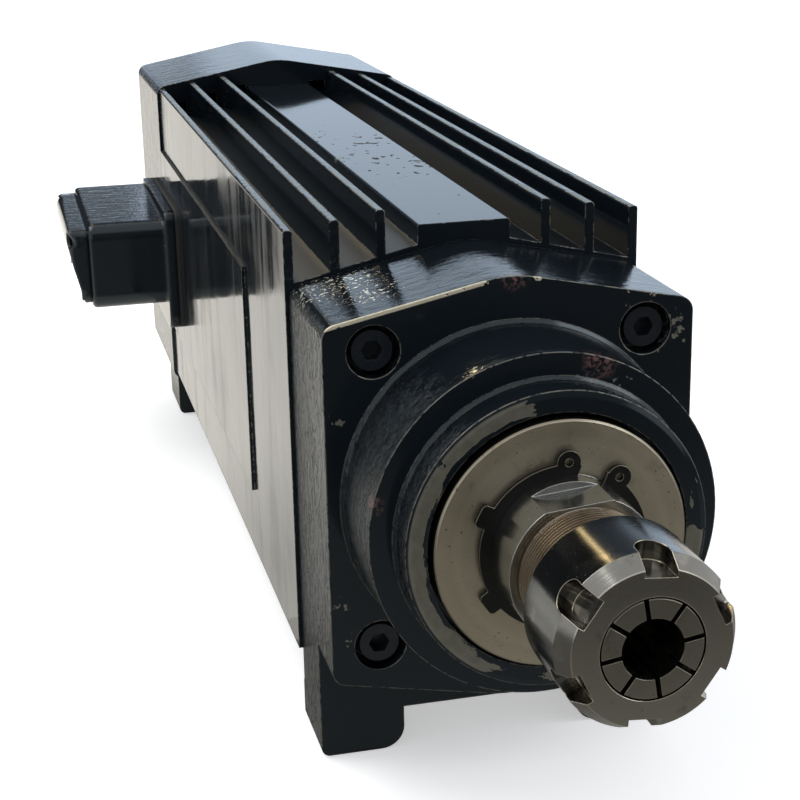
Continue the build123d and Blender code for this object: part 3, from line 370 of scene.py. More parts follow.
def painted(name, knocks=(), scuffs=(), rough=0.13, grain=0.0, chips=0.75, edge_wear=0.22,
            extra_bare=None, wrinkle=0.0, streaks=0.0, specks=None, grit_and_glint=None, dust=None,
            rubbed_metal=(PALE_WEAR, BARE_METAL), round_edges=0.0007):
    """Enamel with chips. knocks are (point, reach, amount) where it is chipped, and scuffs are
    (point, reach) where red is rubbed onto it. rough is how rough clean enamel is. The lower
    chips is, the more chips there are, and edge_wear adds some along the edges, which are rounded
    by round_edges. grain is the cast texture on the sides, wrinkle the runs in the paint on top,
    and streaks the dirt down the sides. The last four are functions of (tree, place, surface)
    that give a mask: extra_bare of metal in the tones rubbed_metal, specks of dull spots,
    grit_and_glint of bare grit and an edge coloured near white as painted glints and a painted
    highlight, and dust of a dull film."""
    material, tree, place, shader = new_material(name)
    surface = surface_normal(tree)
    soft_edge, edge = edge_mask(tree, surface, round_edges)
    bare = chip_mask(tree, place, edge, knocks, chips, edge_wear)
    rubbed_off = 0.0
    if extra_bare is not None:
        rubbed_off = extra_bare(tree, place, surface)
        bare = larger(tree, bare, rubbed_off)
    tone = mix(tree, noise(tree, place, 14, 3), ENAMEL_DARK, ENAMEL_LIGHT)
    if scuffs:
        tone = mix(tree, times(tree, scuff_mask(tree, place, scuffs), 0.75), tone, PRIMER_RED)
    mottle = noise(tree, place, 260, 3)
    metal_tone = mix(tree, rubbed_off, mix(tree, mottle, PALE_WEAR, BARE_METAL),
                     mix(tree, mottle, *rubbed_metal))
    turned_x, _, turned_z = split(tree, surface)
    sides = ease(tree, unsigned(tree, turned_x), 0.45, 0.85)
    tops = ease(tree, turned_z, 0.7, 0.9)
    height = times(tree, noise(tree, place, 130, 2, 0.5), 0.12)
    gloss = rough
    if grain:
        lumps, cracks = cast_texture(tree, place, sides, grain)
        height = minus(tree, plus(tree, height, lumps), times(tree, cracks, 0.3 * grain))
        gloss = plus(tree, times(tree, cracks, 0.12 * grain), gloss)
    if wrinkle:
        height = plus(tree, height, times(tree, paint_runs(tree, place),
                                          times(tree, tops, wrinkle)))
    if streaks:
        dull, waves = side_dirt(tree, place, sides)
        gloss = plus(tree, times(tree, dull, streaks), gloss)
        tone = mix(tree, times(tree, dull, 0.5), tone, DIRT)
        height = plus(tree, height, waves)
    if dust is not None:
        gloss = plus(tree, times(tree, dust(tree, place, surface), 0.30), gloss)
    if specks is not None:
        spots = specks(tree, place, surface)
        tone = mix(tree, spots, tone, SPECK)
        gloss = plus(tree, times(tree, spots, 0.6), gloss)
    height = minus(tree, height, times(tree, bare, 0.5))
    tone = mix(tree, bare, tone, metal_tone)
    metallic = times(tree, bare, BARE_METALLIC)
    # Painted glints and highlight: a near-white, partly metallic tone on bare grit and one edge
    if grit_and_glint is not None:
        bright = grit_and_glint(tree, place, surface)
        tone = mix(tree, bright, tone, PAINTED_GLINT)
        metallic = larger(tree, metallic, times(tree, bright, 0.6))
        height = plus(tree, height, times(tree, bright, 0.8))
    wire(tree, shader, Base_Color=tone, Metallic=metallic,
         Roughness=plus(tree, times(tree, bare, BARE_ROUGH), gloss), IOR=ENAMEL_IOR,
         Specular_Tint=ENAMEL_TINT, Normal=bump(tree, height, PAINT_DEPTH, 1.0, soft_edge))
    return material


print("enamel is", PAINT_DEPTH * 1000, "mm deep")

# %% [markdown]
# ## The finned housing
# The housing is an extrusion, so its paint is smooth. It is rubbed through on the tips of the
# fins, where hands and slings touch it. Grit is caught in the paint of the flat pad in the
# middle, and the floors of the channels stay dusty. Each of these is a height on the part.

# %% Paint the housing
FIN_TIPS = (0.17625, 0.1765)              # height where the wear starts, and where it is full
CHANNEL_FLOORS = (0.1735, 0.1725)
PAD_EDGE = (0.017, 0.0165)                # distance from the middle where the specks end
SPECKS_AT, SPECKS_REACH = (0.004, -0.045, 0.1756), (0.11, 0.02)
SPECK_NOISE = (270, 2, 0.5, (1, 0.6, 1))
PAD_KNOCK = ((-0.0142, -0.0508, 0.1756), 0.006, 0.25)


def fin_tips(tree, place, surface):
    """Bare metal on the tips of the fins, where the paint is rubbed through."""
    tip = times(tree, ease(tree, split(tree, place)[2], *FIN_TIPS),
                ease(tree, split(tree, surface)[2], 0.5, 0.9))
    return times(tree, tip, ease(tree, noise(tree, place, 90, 5, 0.7), 0.40, 0.56))


def pad_specks(tree, place, surface):
    """Dull specks on the flat pad between the fins, where grit is caught in the paint."""
    pad = times(tree, ease(tree, unsigned(tree, split(tree, place)[0]), *PAD_EDGE),
                ease(tree, split(tree, surface)[2], 0.9, 0.95))
    crowd = ease(tree, distance(tree, place, SPECKS_AT), *SPECKS_REACH)
    level = plus(tree, noise(tree, place, *SPECK_NOISE), times(tree, crowd, 0.10))
    return times(tree, pad, ease(tree, level, 0.745, 0.76))


def channel_dust(tree, place, surface):
    """A dull film on the floors of the channels."""
    return times(tree, ease(tree, split(tree, surface)[2], 0.8, 0.9),
                 ease(tree, split(tree, place)[2], *CHANNEL_FLOORS))


dress(painted("gloss_paint_extrusion", rough=0.07, extra_bare=fin_tips, streaks=0.16,
              specks=pad_specks, dust=channel_dust, knocks=[PAD_KNOCK]), "housing")
print("housing painted:", NODES["housing"].data.materials[0].name)

# %% [markdown]
# ## Round the shaft
# Turned parts wear and are machined round the shaft, so their marks depend on two numbers at each
# point: how far it is from the shaft's axis, and in which direction. Worked out in the shader,
# they need no texture coordinates of the mesh.

# %% Distance and direction from the shaft
def from_shaft(tree, place):
    """Distance of each point from the shaft axis, and its place along the shaft."""
    x, y, z = split(tree, place)
    z = minus(tree, z, SHAFT_Z)
    squares = plus(tree, times(tree, x, x), times(tree, z, z))
    return maths(tree, "SQRT", squares), y


def around_shaft(tree, place, direction, half_width, soft):
    """1 inside this sector round the shaft. direction and half_width are in degrees from +X, and
    soft is how far its ends are blurred, as a cosine."""
    x, _, z = split(tree, place)
    flat = add(tree, "CombineXYZ", {0: x, 1: minus(tree, z, SHAFT_Z)}).outputs[0]
    unit = add(tree, "VectorMath", {0: flat}, operation="NORMALIZE").outputs["Vector"]
    aim = (math.cos(math.radians(direction)), math.sin(math.radians(direction)), 0)
    cosine = add(tree, "VectorMath", {0: unit, 1: aim}, operation="DOT_PRODUCT").outputs["Value"]
    limit = math.cos(math.radians(half_width))
    return ease(tree, cosine, limit - soft, limit + soft)


print("shaft axis at z =", SHAFT_Z)

# %% [markdown]
# ## The front shield's own damage
# The front shield takes the knocks: it stands where tools and clamps are handled. Its corners are
# chipped, the front rim of its boss is worn to the metal in ragged patches, and the paint at the
# top left corner is broken into grit, coloured near white as painted glints. A painted highlight
# runs along the front edge of its top. These marks are written down as places with a reach, and
# noise gives each its ragged shape.

# %% Places of the damage
SHIELD_KNOCKS = [((-0.034, -0.203, 0.163), 0.014, 0.16),
                 ((0.053, FACE_Y, 0.1476), 0.013, 0.20), ((0.042, FACE_Y, 0.1583), 0.010, 0.14),
                 ((0.0118, STEP_Y, 0.1457), 0.008, 0.12), ((0.0227, STEP_Y, 0.1425), 0.008, 0.13),
                 ((-0.0566, FACE_Y, 0.1269), 0.006, 0.15),
                 ((-0.0547, FACE_Y, 0.0542), 0.006, 0.18),
                 ((-0.0569, FACE_Y, 0.0667), 0.006, 0.14),
                 ((-0.0233, STEP_Y, 0.1538), 0.006, 0.20)]
SHIELD_SCUFFS = [((0.0011, FACE_Y, 0.1696), 0.006), ((-0.053, STEP_Y + 0.002, 0.113), 0.005),
                 ((0.0164, STEP_Y, 0.1505), 0.007)]
# Round the shaft: direction and half width in degrees, softness and amount
RIM_PATCHES = [(168, 68, 0.12, 0.20), (270, 26, 0.12, 0.12), (352, 7, 0.01, 0.3)]
SHIELD_GRIT = [((-0.047, -0.195, 0.160), 0.022, 1.0), ((-0.040, -0.214, 0.161), 0.015, 1.0),
               ((-0.0225, STEP_Y + 0.003, 0.1520), 0.005, 1.5)]
print("knocks:", len(SHIELD_KNOCKS), "scuffs:", len(SHIELD_SCUFFS), "rim:", len(RIM_PATCHES),
      "grit:", len(SHIELD_GRIT))

# %% Masks of the damage
RIM_DEPTH = (0.0004, 0.0002)              # how far behind its front the rim is bare
RIM_INSIDE = (0.0425, 0.0405)             # radius below which more of its paint is left
RIM_LANE = 0.016                          # how the patches are drawn out round the shaft
TOP_SLOPE = 0.21                          # of the shield's roof, down to each side
# TOP_EDGE and EDGE_DEPTH place the painted highlight line along the front edge of the top
TOP_EDGE = (-0.0005, -0.0002)             # height against the roof where its edge starts
EDGE_DEPTH = (0.0010, 0.0005)             # how far behind the flange face the edge ends


def shield_bare(tree, place, surface):
    """Bare metal on the front rim of the boss, with ragged patches of paint left on it."""
    x, y, z = split(tree, place)
    on_rim = ease(tree, y, NECK_Y + RIM_DEPTH[0], NECK_Y + RIM_DEPTH[1])
    radius, _ = from_shaft(tree, place)
    turn = maths(tree, "ARCTAN2", x, minus(tree, z, SHAFT_Z))
    lane = add(tree, "CombineXYZ", {0: times(tree, turn, RIM_LANE), 1: radius}).outputs[0]
    share = 0.0
    for direction, half_width, soft, amount in RIM_PATCHES:
        sector = around_shaft(tree, place, direction, half_width, soft)
        share = plus(tree, share, times(tree, sector, amount))
    inner = times(tree, ease(tree, radius, *RIM_INSIDE), 0.12)
    level = minus(tree, plus(tree, noise(tree, lane, 115, 5, 0.62), share), inner)
    return times(tree, on_rim, ease(tree, level, 0.60, 0.61))


def shield_grit_and_glint(tree, place, surface):
    """Bare grit near the top left corner, coloured near white as painted glints, and a painted
    highlight line along the front edge of the top.
    """
    x, y, z = split(tree, place)
    crowd = 0.0
    for point, reach, amount in SHIELD_GRIT:
        crowd = larger(tree, crowd, times(tree, near(tree, place, point, reach), amount))
    grit = plus(tree, noise(tree, place, 820, 1, 0.5), times(tree, crowd, 0.12))
    grit = times(tree, ease(tree, grit, 0.70, 0.75), ease(tree, crowd, 0.02, 0.3))
    roof = minus(tree, SHIELD_HIGH.z, times(tree, unsigned(tree, x), TOP_SLOPE))
    top_edge_glint = times(tree, ease(tree, minus(tree, z, roof), *TOP_EDGE),
                      ease(tree, y, FACE_Y + EDGE_DEPTH[0], FACE_Y + EDGE_DEPTH[1]))
    ragged = plus(tree, noise(tree, place, 160, 4, 0.7), ease(tree, x, 0.012, -0.030, -0.12, 0.14))
    return larger(tree, grit, times(tree, top_edge_glint, ease(tree, ragged, 0.50, 0.54)))


print("rim worn to y =", round(NECK_Y + RIM_DEPTH[0], 4))

# %% [markdown]
# ## Painting the castings
# All castings share the enamel, and differ in the skin below it. The front shield is the roughest
# and the most worn. The rear one is smoother, and the terminal box has soft edges and the deepest
# runs in its paint.

# %% Paint the shields and the box
dress(painted("gloss_paint_front_casting", SHIELD_KNOCKS, SHIELD_SCUFFS, rough=0.12, grain=3.4,
              extra_bare=shield_bare, wrinkle=1.0, edge_wear=0.32, grit_and_glint=shield_grit_and_glint,
              rubbed_metal=(DULL_METAL, WORN_METAL)), "front_shield")
dress(painted("gloss_paint_rear_casting", rough=0.13, grain=0.35, wrinkle=0.8),
      "rear_shield", "fan_guard")
dress(painted("gloss_paint_box", rough=0.06, edge_wear=0.10, chips=0.78, wrinkle=1.2,
              round_edges=0.0024), "terminal_box", "terminal_box_lid")
print("painted:", sorted(m.name for m in bpy.data.materials if m.name.startswith("gloss_paint")))

# %% [markdown]
# ## Turned, ground and blackened steel
# Machined steel keeps the marks of its tool. On a turned face they are rings about the shaft, and
# on a ground cylinder they are fine lines round it. Both follow from the distance to the shaft's
# axis and the place along it, so one noise of those two numbers makes both. Stains and pits break
# the lines up, and a dark skin is left where the steel was blackened and not machined again. The
# same dark band on the outer edge of the disc is painted shade of the gap between it and the boss.

# %% Make a machined finish
STAIN_BROWN = (0.10, 0.07, 0.045)
# Lighter tone on the edges: partly rubbed metal, partly a painted highlight
EDGE_HIGHLIGHT_TONE = (0.55, 0.50, 0.40)
PIT_DARK = (0.02, 0.017, 0.013)
LINE_DEPTH = 0.00004
# The dark band at the outer edge: blackened skin on the nut, painted shade of the gap on the disc
BAND_OUTER = (0.00015, 0.00005)           # how far below the outer radius the skin starts
BAND_FACE, BAND_SOFT = 0.62, 0.0002       # the skin's share from the bevel on, and its blur


def skin_and_shade_mask(tree, place, radius, outer, bevel):
    """1 on the outermost cylinder, and less from the bevel out, thinned by noise. On the nut it is
    blackened skin that handling has worn thin; on the disc it is painted shade of the gap round
    it.
    """
    skin = larger(tree, ease(tree, radius, outer - BAND_OUTER[0], outer - BAND_OUTER[1]),
                  ease(tree, radius, bevel, bevel + BAND_SOFT, 0.0, BAND_FACE))
    return times(tree, skin, ease(tree, noise(tree, place, 85, 4, 0.6), 0.56, 0.72, 1.0, 0.55))


def machined(name, dark, light, rough=0.25, line_scale=2600, line_depth=0.5, stain=0.35,
             stain_tone=STAIN_BROWN, edge_highlight=0.0, round_edges=0.0004, oxide_and_shade=None):
    """Steel with tool marks round the shaft, with a tone between dark and light. line_scale and
    line_depth say how fine and how deep the marks are, and stain how much of stain_tone there is.
    edge_highlight is how much lighter the edges are: partly rubbed metal, partly a painted
    highlight. oxide_and_shade is (outer radius, bevel radius, colour) of a dark band at the outer
    edge: blackened skin on the nut, and painted shade of the gap round the disc."""
    material, tree, place, shader = new_material(name)
    radius, along = from_shaft(tree, place)
    lane = add(tree, "CombineXYZ", {0: radius, 1: along}).outputs[0]
    lines = noise(tree, lane, line_scale, 2, 0.6)
    bands = noise(tree, lane, line_scale / 12, 2, 0.5)
    cloud = noise(tree, place, 55, 4, 0.6)
    tone = mix(tree, plus(tree, times(tree, bands, 0.5), times(tree, cloud, 0.5)), dark, light)
    spots = times(tree, ease(tree, noise(tree, place, 130, 5, 0.7), 0.56, 0.70), stain)
    tone = mix(tree, spots, tone, stain_tone)
    # Dark band at the outer edge: blackened skin on the nut, painted shade of the gap on the disc
    if oxide_and_shade:
        tone = mix(tree, skin_and_shade_mask(tree, place, radius, *oxide_and_shade[:2]), tone, oxide_and_shade[2])
    soft_edge, edge = edge_mask(tree, surface_normal(tree), round_edges)
    # Painted highlight along the edges, partly rubbed metal as well
    if edge_highlight:
        tone = mix(tree, times(tree, edge, edge_highlight), tone, EDGE_HIGHLIGHT_TONE)
    pits = ease(tree, noise(tree, place, 900, 2, 0.5), 0.70, 0.74)
    tone = mix(tree, times(tree, pits, 0.8), tone, PIT_DARK)
    height = minus(tree, times(tree, lines, line_depth), pits)
    wire(tree, shader, Base_Color=tone, Metallic=1.0,
         Roughness=plus(tree, times(tree, cloud, 0.16), rough - 0.06),
         Normal=bump(tree, height, LINE_DEPTH, 1.0, soft_edge))
    return material


print("tool marks are", LINE_DEPTH * 1000, "mm deep")

# %% Dress the nose
# Darkens the disc's outer chamfer: painted shade of the gap between the disc and the boss rim
DISC_GAP_SHADE = (DISC_R, DISC_R - 0.0006, (0.06, 0.055, 0.045))
NUT_SKIN = (NUT_R, NUT_R - 0.0029, (0.105, 0.11, 0.11))
dress(machined("turned_steel_disc", dark=(0.40, 0.365, 0.29), light=(0.70, 0.64, 0.50),
               rough=0.36, line_scale=3200, line_depth=0.8, stain=0.30,
               stain_tone=(0.16, 0.10, 0.055), round_edges=0.0002, oxide_and_shade=DISC_GAP_SHADE),
      "labyrinth_disc")
dress(machined("ground_steel_shaft", dark=(0.42, 0.43, 0.42), light=(0.64, 0.65, 0.64),
               rough=0.17, line_scale=2400), "spindle_shaft")
dress(machined("blackened_steel_nut", dark=(0.30, 0.285, 0.255), light=(0.42, 0.405, 0.36),
               rough=0.12, line_scale=2200, line_depth=0.35, stain=0.3, edge_highlight=0.9,
               oxide_and_shade=NUT_SKIN), "collet_nut")
dress(machined("hardened_steel_collet", dark=(0.22, 0.215, 0.185), light=(0.34, 0.33, 0.28),
               rough=0.26, line_scale=1800, edge_highlight=0.3), "collet")
dress(machined("phosphated_steel_ring", dark=(0.024, 0.026, 0.026), light=(0.05, 0.052, 0.05),
               rough=0.34, stain=0.2, edge_highlight=0.5), "retaining_ring", "fan_retaining_ring")
print("nose steels:", sorted(m.name for m in bpy.data.materials if "_steel_" in m.name))

# %% [markdown]
# ## Small trees that make shapes
# What repeats by a rule is made with Geometry Nodes: each tree has its sizes as named inputs, and
# runs on an empty mesh. Its result is kept as a plain mesh, so that nothing depends on the
# modifier afterwards.

# %% Helpers that build a Geometry Nodes tree
def new_tree(name, sizes):
    """A tree with named float inputs, then a material. Gives the tree, its input node's sockets
    by name and a function that adds a node."""
    tree = bpy.data.node_groups.new(name, "GeometryNodeTree")
    for size, value in sizes.items():
        socket = tree.interface.new_socket(size, in_out="INPUT", socket_type="NodeSocketFloat")
        socket.default_value = value
    tree.interface.new_socket("Finish", in_out="INPUT", socket_type="NodeSocketMaterial")
    tree.interface.new_socket("Geometry", in_out="OUTPUT", socket_type="NodeSocketGeometry")
    sockets = tree.nodes.new("NodeGroupInput").outputs

    def node(kind, inputs=None, **settings):
        made = tree.nodes.new(kind)
        for key, value in settings.items():
            setattr(made, key, value)
        for key, value in (inputs or {}).items():
            if isinstance(value, bpy.types.NodeSocket):
                tree.links.new(value, made.inputs[key])
            else:
                made.inputs[key].default_value = value
        return made

    return tree, {socket.name: socket for socket in sockets if socket.name}, node


def calc(node, operation, a, b=0.0):
    return node("ShaderNodeMath", {0: a, 1: b}, operation=operation).outputs[0]


def vector(node, x=0.0, y=0.0, z=0.0):
    return node("ShaderNodeCombineXYZ", {0: x, 1: y, 2: z}).outputs[0]


def finish_tree(tree, node, geometry, finish):
    """Ends a tree with Realize Instances and Set Material."""
    real = node("GeometryNodeRealizeInstances", {"Geometry": geometry}).outputs[0]
    dressed = node("GeometryNodeSetMaterial", {"Geometry": real, "Material": finish}).outputs[0]
    tree.links.new(dressed, tree.nodes.new("NodeGroupOutput").inputs["Geometry"])


def grow(name, tree, finish, sizes=None):
    """Runs a tree on an empty mesh and keeps the result as a plain mesh."""
    seed = bpy.data.objects.new(name + "_seed", bpy.data.meshes.new(name + "_seed"))
    bpy.context.scene.collection.objects.link(seed)
    modifier = seed.modifiers.new("grow", "NODES")
    modifier.node_group = tree
    for socket in tree.interface.items_tree:
        if socket.in_out == "INPUT" and socket.name == "Finish":
            modifier[socket.identifier] = finish
        elif socket.in_out == "INPUT" and socket.name in (sizes or {}):
            modifier[socket.identifier] = sizes[socket.name]
    grown = seed.evaluated_get(bpy.context.evaluated_depsgraph_get())
    mesh = bpy.data.meshes.new_from_object(grown)
    seed.modifiers.clear()
    bpy.data.objects.remove(seed)
    mesh.name = name
    piece = bpy.data.objects.new(name, mesh)
    bpy.context.scene.collection.objects.link(piece)
    print(name, "faces:", len(mesh.polygons))
    return piece


print("Geometry Nodes helpers ready")

# %% [markdown]
# ## The nose thread
# A fine thread runs round the nose behind the nut. It is one ridge that climbs round the shaft by
# one pitch each turn, so it follows a rule, and Geometry Nodes can bend a flat grid into it: one
# direction of the grid becomes the way along the ridge and the other goes once round its
# cross-section. Both ends shrink to nothing, so the ridge is closed. The plain core inside it is
# the CAD shaft.

# %% Bend a grid into the thread
THREAD_SIZES = {"Root": 0.0190, "Crest": 0.01995, "Pitch": 0.0015, "Turns": 17.0,
                "Back End": FACE_Y - 0.0696}
STEPS_PER_TURN = 48
CREST_MIDDLE, SECOND_FOOT, CORNERS = 1.5, 3.0, 4.0      # steps round the cross-section
FLANK_LEAN = 0.29               # how far apart its corners stand, as a share of the pitch
RUN_OUT = 0.5                   # turns over which each end shrinks to nothing
WELD = 0.000004
thread_tree, size, node = new_tree("nose_thread", THREAD_SIZES)
grid = node("GeometryNodeMeshGrid", {
    "Size X": 1.0, "Size Y": 1.0, "Vertices X": STEPS_PER_TURN * int(THREAD_SIZES["Turns"]) + 1,
    "Vertices Y": int(CORNERS) + 1}).outputs["Mesh"]
spot = node("ShaderNodeSeparateXYZ", {0: node("GeometryNodeInputPosition").outputs[0]}).outputs
along = calc(node, "ADD", spot[0], 0.5)
turns_done = calc(node, "MULTIPLY", along, size["Turns"])
turns_left = calc(node, "MULTIPLY", calc(node, "SUBTRACT", 1.0, along), size["Turns"])
fade_in, fade_out = (node("ShaderNodeMapRange", {"Value": turns, "From Min": 0.0,
                                                 "From Max": RUN_OUT}).outputs[0]
                     for turns in (turns_done, turns_left))
fade = calc(node, "MULTIPLY", fade_in, fade_out)
round_it = calc(node, "MULTIPLY", calc(node, "ADD", spot[1], 0.5), CORNERS)
from_crest = calc(node, "ABSOLUTE", calc(node, "SUBTRACT", round_it, CREST_MIDDLE))
flat_top = node("ShaderNodeMapRange", {"Value": from_crest, "From Min": 1.0, "From Max": 0.6,
                                       "To Min": 0.0, "To Max": 1.0}).outputs[0]
rise = calc(node, "MULTIPLY", calc(node, "MULTIPLY", flat_top, fade),
            calc(node, "SUBTRACT", size["Crest"], size["Root"]))
radius = calc(node, "ADD", size["Root"], rise)
# Across the ridge: the foot, two corners of the crest, the foot again, and back to the start
forth = calc(node, "SUBTRACT", calc(node, "MINIMUM", round_it, SECOND_FOOT), CREST_MIDDLE)
home = calc(node, "MULTIPLY", calc(node, "MAXIMUM", calc(
    node, "SUBTRACT", round_it, SECOND_FOOT), 0.0), SECOND_FOOT)
lean = calc(node, "MULTIPLY", calc(node, "SUBTRACT", forth, home), FLANK_LEAN)
lean = calc(node, "MULTIPLY", calc(node, "MULTIPLY", lean, fade), size["Pitch"])
angle = calc(node, "MULTIPLY", turns_done, 2 * math.pi)
back = calc(node, "SUBTRACT", size["Back End"], calc(node, "MULTIPLY", turns_done, size["Pitch"]))
bent_x = calc(node, "MULTIPLY", radius, calc(node, "COSINE", angle))
bent_z = calc(node, "MULTIPLY", radius, calc(node, "SINE", angle))
bent = vector(node, bent_x, calc(node, "ADD", back, lean), calc(node, "ADD", bent_z, SHAFT_Z))
placed = node("GeometryNodeSetPosition", {"Geometry": grid, "Position": bent}).outputs[0]
sealed = node("GeometryNodeMergeByDistance", {"Geometry": placed, "Distance": WELD}).outputs[0]
outward = node("GeometryNodeFlipFaces", {"Mesh": sealed}).outputs[0]
finish_tree(thread_tree, node, outward, size["Finish"])
print("thread runs", round(THREAD_SIZES["Turns"] * THREAD_SIZES["Pitch"] * 1000, 1), "mm")

# %% [markdown]
# ## Finish of the thread
# The nut rubs the crests bright, and old oil turns brown in the roots. So the thread has a brown
# steel with heavy stains, and lighter edges: partly rubbed, partly a painted highlight.

# %% Grow the thread
thread_finish = machined("worn_steel_thread", dark=(0.15, 0.11, 0.07), light=(0.38, 0.31, 0.22),
                         rough=0.26, line_scale=1500, stain=0.85, stain_tone=(0.05, 0.030, 0.018),
                         edge_highlight=0.7, round_edges=0.0001)
nose_thread = grow("nose_thread", thread_tree, thread_finish)
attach(nose_thread, "spindle")

# %% [markdown]
# ## The bearing balls
# The CAD model has plain rings in the place of the balls and their cages. Each is replaced by what
# a real bearing has: balls spaced evenly on a circle, bars of the cage between them, and a thin
# hoop on each side. Geometry Nodes put one ball and one bar on each point of a circle.

# %% Tree of a row of balls
BALL_SIZES = {"Pitch Radius": 0.03, "Ball Radius": 0.0028, "Balls": 24.0, "Middle": 0.0,
              "Width": 0.014}
BAR_THICK, HOOP_THICK = 0.5, 0.42         # of a ball's radius
BAR_LONG, HOOP_AT = 0.86, 0.42            # of the bearing's width
HOOP_STEPS, WIRE_STEPS = 96, 10
ball_tree, size, node = new_tree("ball_row", BALL_SIZES)
circle = node("GeometryNodeMeshCircle", {"Vertices": size["Balls"],
                                         "Radius": size["Pitch Radius"]}).outputs[0]
ball = node("GeometryNodeMeshIcoSphere", {"Radius": size["Ball Radius"],
                                          "Subdivisions": 3}).outputs[0]
ball = node("GeometryNodeSetShadeSmooth", {"Geometry": ball}).outputs[0]
balls = node("GeometryNodeInstanceOnPoints", {"Points": circle, "Instance": ball}).outputs[0]
half_step = calc(node, "DIVIDE", math.pi, size["Balls"])
turned_circle = node("GeometryNodeTransform", {"Geometry": circle,
                                               "Rotation": vector(node, z=half_step)}).outputs[0]
bar_side = calc(node, "MULTIPLY", size["Ball Radius"], BAR_THICK)
bar_size = vector(node, bar_side, bar_side, calc(node, "MULTIPLY", size["Width"], BAR_LONG))
bar = node("GeometryNodeMeshCube", {"Size": bar_size}).outputs[0]
bars = node("GeometryNodeInstanceOnPoints", {"Points": turned_circle, "Instance": bar}).outputs[0]
wire_radius = calc(node, "MULTIPLY", size["Ball Radius"], HOOP_THICK)
hoop, section = (node("GeometryNodeCurvePrimitiveCircle", {"Radius": radius, "Resolution": steps},
                      mode="RADIUS").outputs[0]
                 for radius, steps in ((size["Pitch Radius"], HOOP_STEPS),
                                       (wire_radius, WIRE_STEPS)))
hoop = node("GeometryNodeCurveToMesh", {"Curve": hoop, "Profile Curve": section}).outputs[0]
hoops = [node("GeometryNodeTransform", {"Geometry": hoop, "Translation": vector(
    node, z=calc(node, "MULTIPLY", size["Width"], way))}).outputs[0]
    for way in (-HOOP_AT, HOOP_AT)]
row = node("GeometryNodeJoinGeometry")
for part in (balls, bars, *hoops):
    ball_tree.links.new(part, row.inputs[0])
row = node("GeometryNodeTransform", {
    "Geometry": row.outputs[0], "Translation": vector(node, y=size["Middle"], z=SHAFT_Z),
    "Rotation": (math.pi / 2, 0, 0)}).outputs[0]
finish_tree(ball_tree, node, row, size["Finish"])
print("nodes in a row of balls:", len(ball_tree.nodes))

# %% [markdown]
# ## Filling the bearings
# A row of balls moves with the cage, not with a ring, so each row rides on the body of the cage
# that it stands for. The front pair has two rows side by side, and the rear bearing has one.

# %% Grow the balls and cages
BALL_LIGHT, BALL_DARK = (0.66, 0.66, 0.65), (0.50, 0.50, 0.49)
CAGE_INSET = 0.001              # how much shorter than its bearing a plain ring is at each end
# Body, rows, pitch radius, ball radius and balls in a row
CAGES = {"front_bearing_cages": ("front_cages", 2, 0.030, 0.0028, 24),
         "rear_bearing_cage": ("rear_cage", 1, 0.023, 0.0031, 18)}
ball_finish = machined("polished_ball_steel", BALL_DARK, BALL_LIGHT, 0.12, stain=0.05)
for cad_name, (body, count, pitch_radius, ball_radius, balls_in_row) in CAGES.items():
    low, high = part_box(cad_name)
    step = (high.y - low.y + 2 * CAGE_INSET) / count
    for i in range(count):
        row = grow(cad_name + "_balls_" + str(i + 1), ball_tree, ball_finish,
                   {"Pitch Radius": pitch_radius, "Ball Radius": ball_radius,
                    "Balls": float(balls_in_row), "Middle": low.y - CAGE_INSET + step * (i + 0.5)})
        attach(row, body)
        if i == 0:
            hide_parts(cad_name)

# %% [markdown]
# ## Inner pieces
# The bearings, the rotor, the stator and the fan sit inside, and show only when the model is
# taken apart. They get the finishes of the real ones: ground bearing steel, stacks of thin sheet
# whose edges make fine lines, lacquered copper, cast aluminium, black plastic and rubber.

# %% Steel inside
dress(machined("ground_bearing_steel", BALL_DARK, BALL_LIGHT, 0.18, stain=0.05),
      "front_bearing_outer_rings", "front_bearing_inner_rings", "rear_bearing_outer_ring",
      "rear_bearing_inner_ring", "front_bearing_cages", "rear_bearing_cage", "wave_spring")
dress(machined("turned_steel_cover", dark=(0.33, 0.33, 0.33), light=(0.45, 0.45, 0.44),
               rough=0.30, stain=0.15), "front_bearing_cover")
print("bearing steel:", NODES["wave_spring"].data.materials[0].name)

# %% Stacked sheets and wires
BANDS_PER_METRE = 3.18          # stripes of a Wave texture of scale 1


def stacked(name, dark, light, pitch):
    """Thin sheets stacked along the shaft: their edges make fine lines, one for each pitch."""
    material, tree, place, shader = new_material(name)
    sheets = add(tree, "TexWave", {"Vector": place, "Scale": 1 / pitch / BANDS_PER_METRE,
                                   "Distortion": 0.4}, bands_direction="Y").outputs["Fac"]
    cloud = noise(tree, place, 60, 4)
    wire(tree, shader, Base_Color=mix(tree, cloud, dark, light), Metallic=0.9,
         Roughness=plus(tree, times(tree, cloud, 0.2), 0.32),
         Normal=bump(tree, sheets, 0.0001, 0.8))
    return material


dress(stacked("stacked_sheet_steel", (0.16, 0.16, 0.165), (0.27, 0.27, 0.27), pitch=0.0007),
      "stator_core", "rotor_core")
dress(stacked("lacquered_copper", (0.30, 0.095, 0.035), (0.52, 0.19, 0.07), pitch=0.0011),
      "stator_windings")
print("stacked:", NODES["stator_core"].data.materials[0].name)

# %% Cast, moulded and rolled finishes
FINE_NOISE, CLOUD_NOISE = (1200, 3, 0.6), (75, 4)
MOULD_DEPTH, MOULD_SPREAD = 0.00006, 0.15
SMALL_EDGE, SMALL_SAMPLES = 0.0003, 4


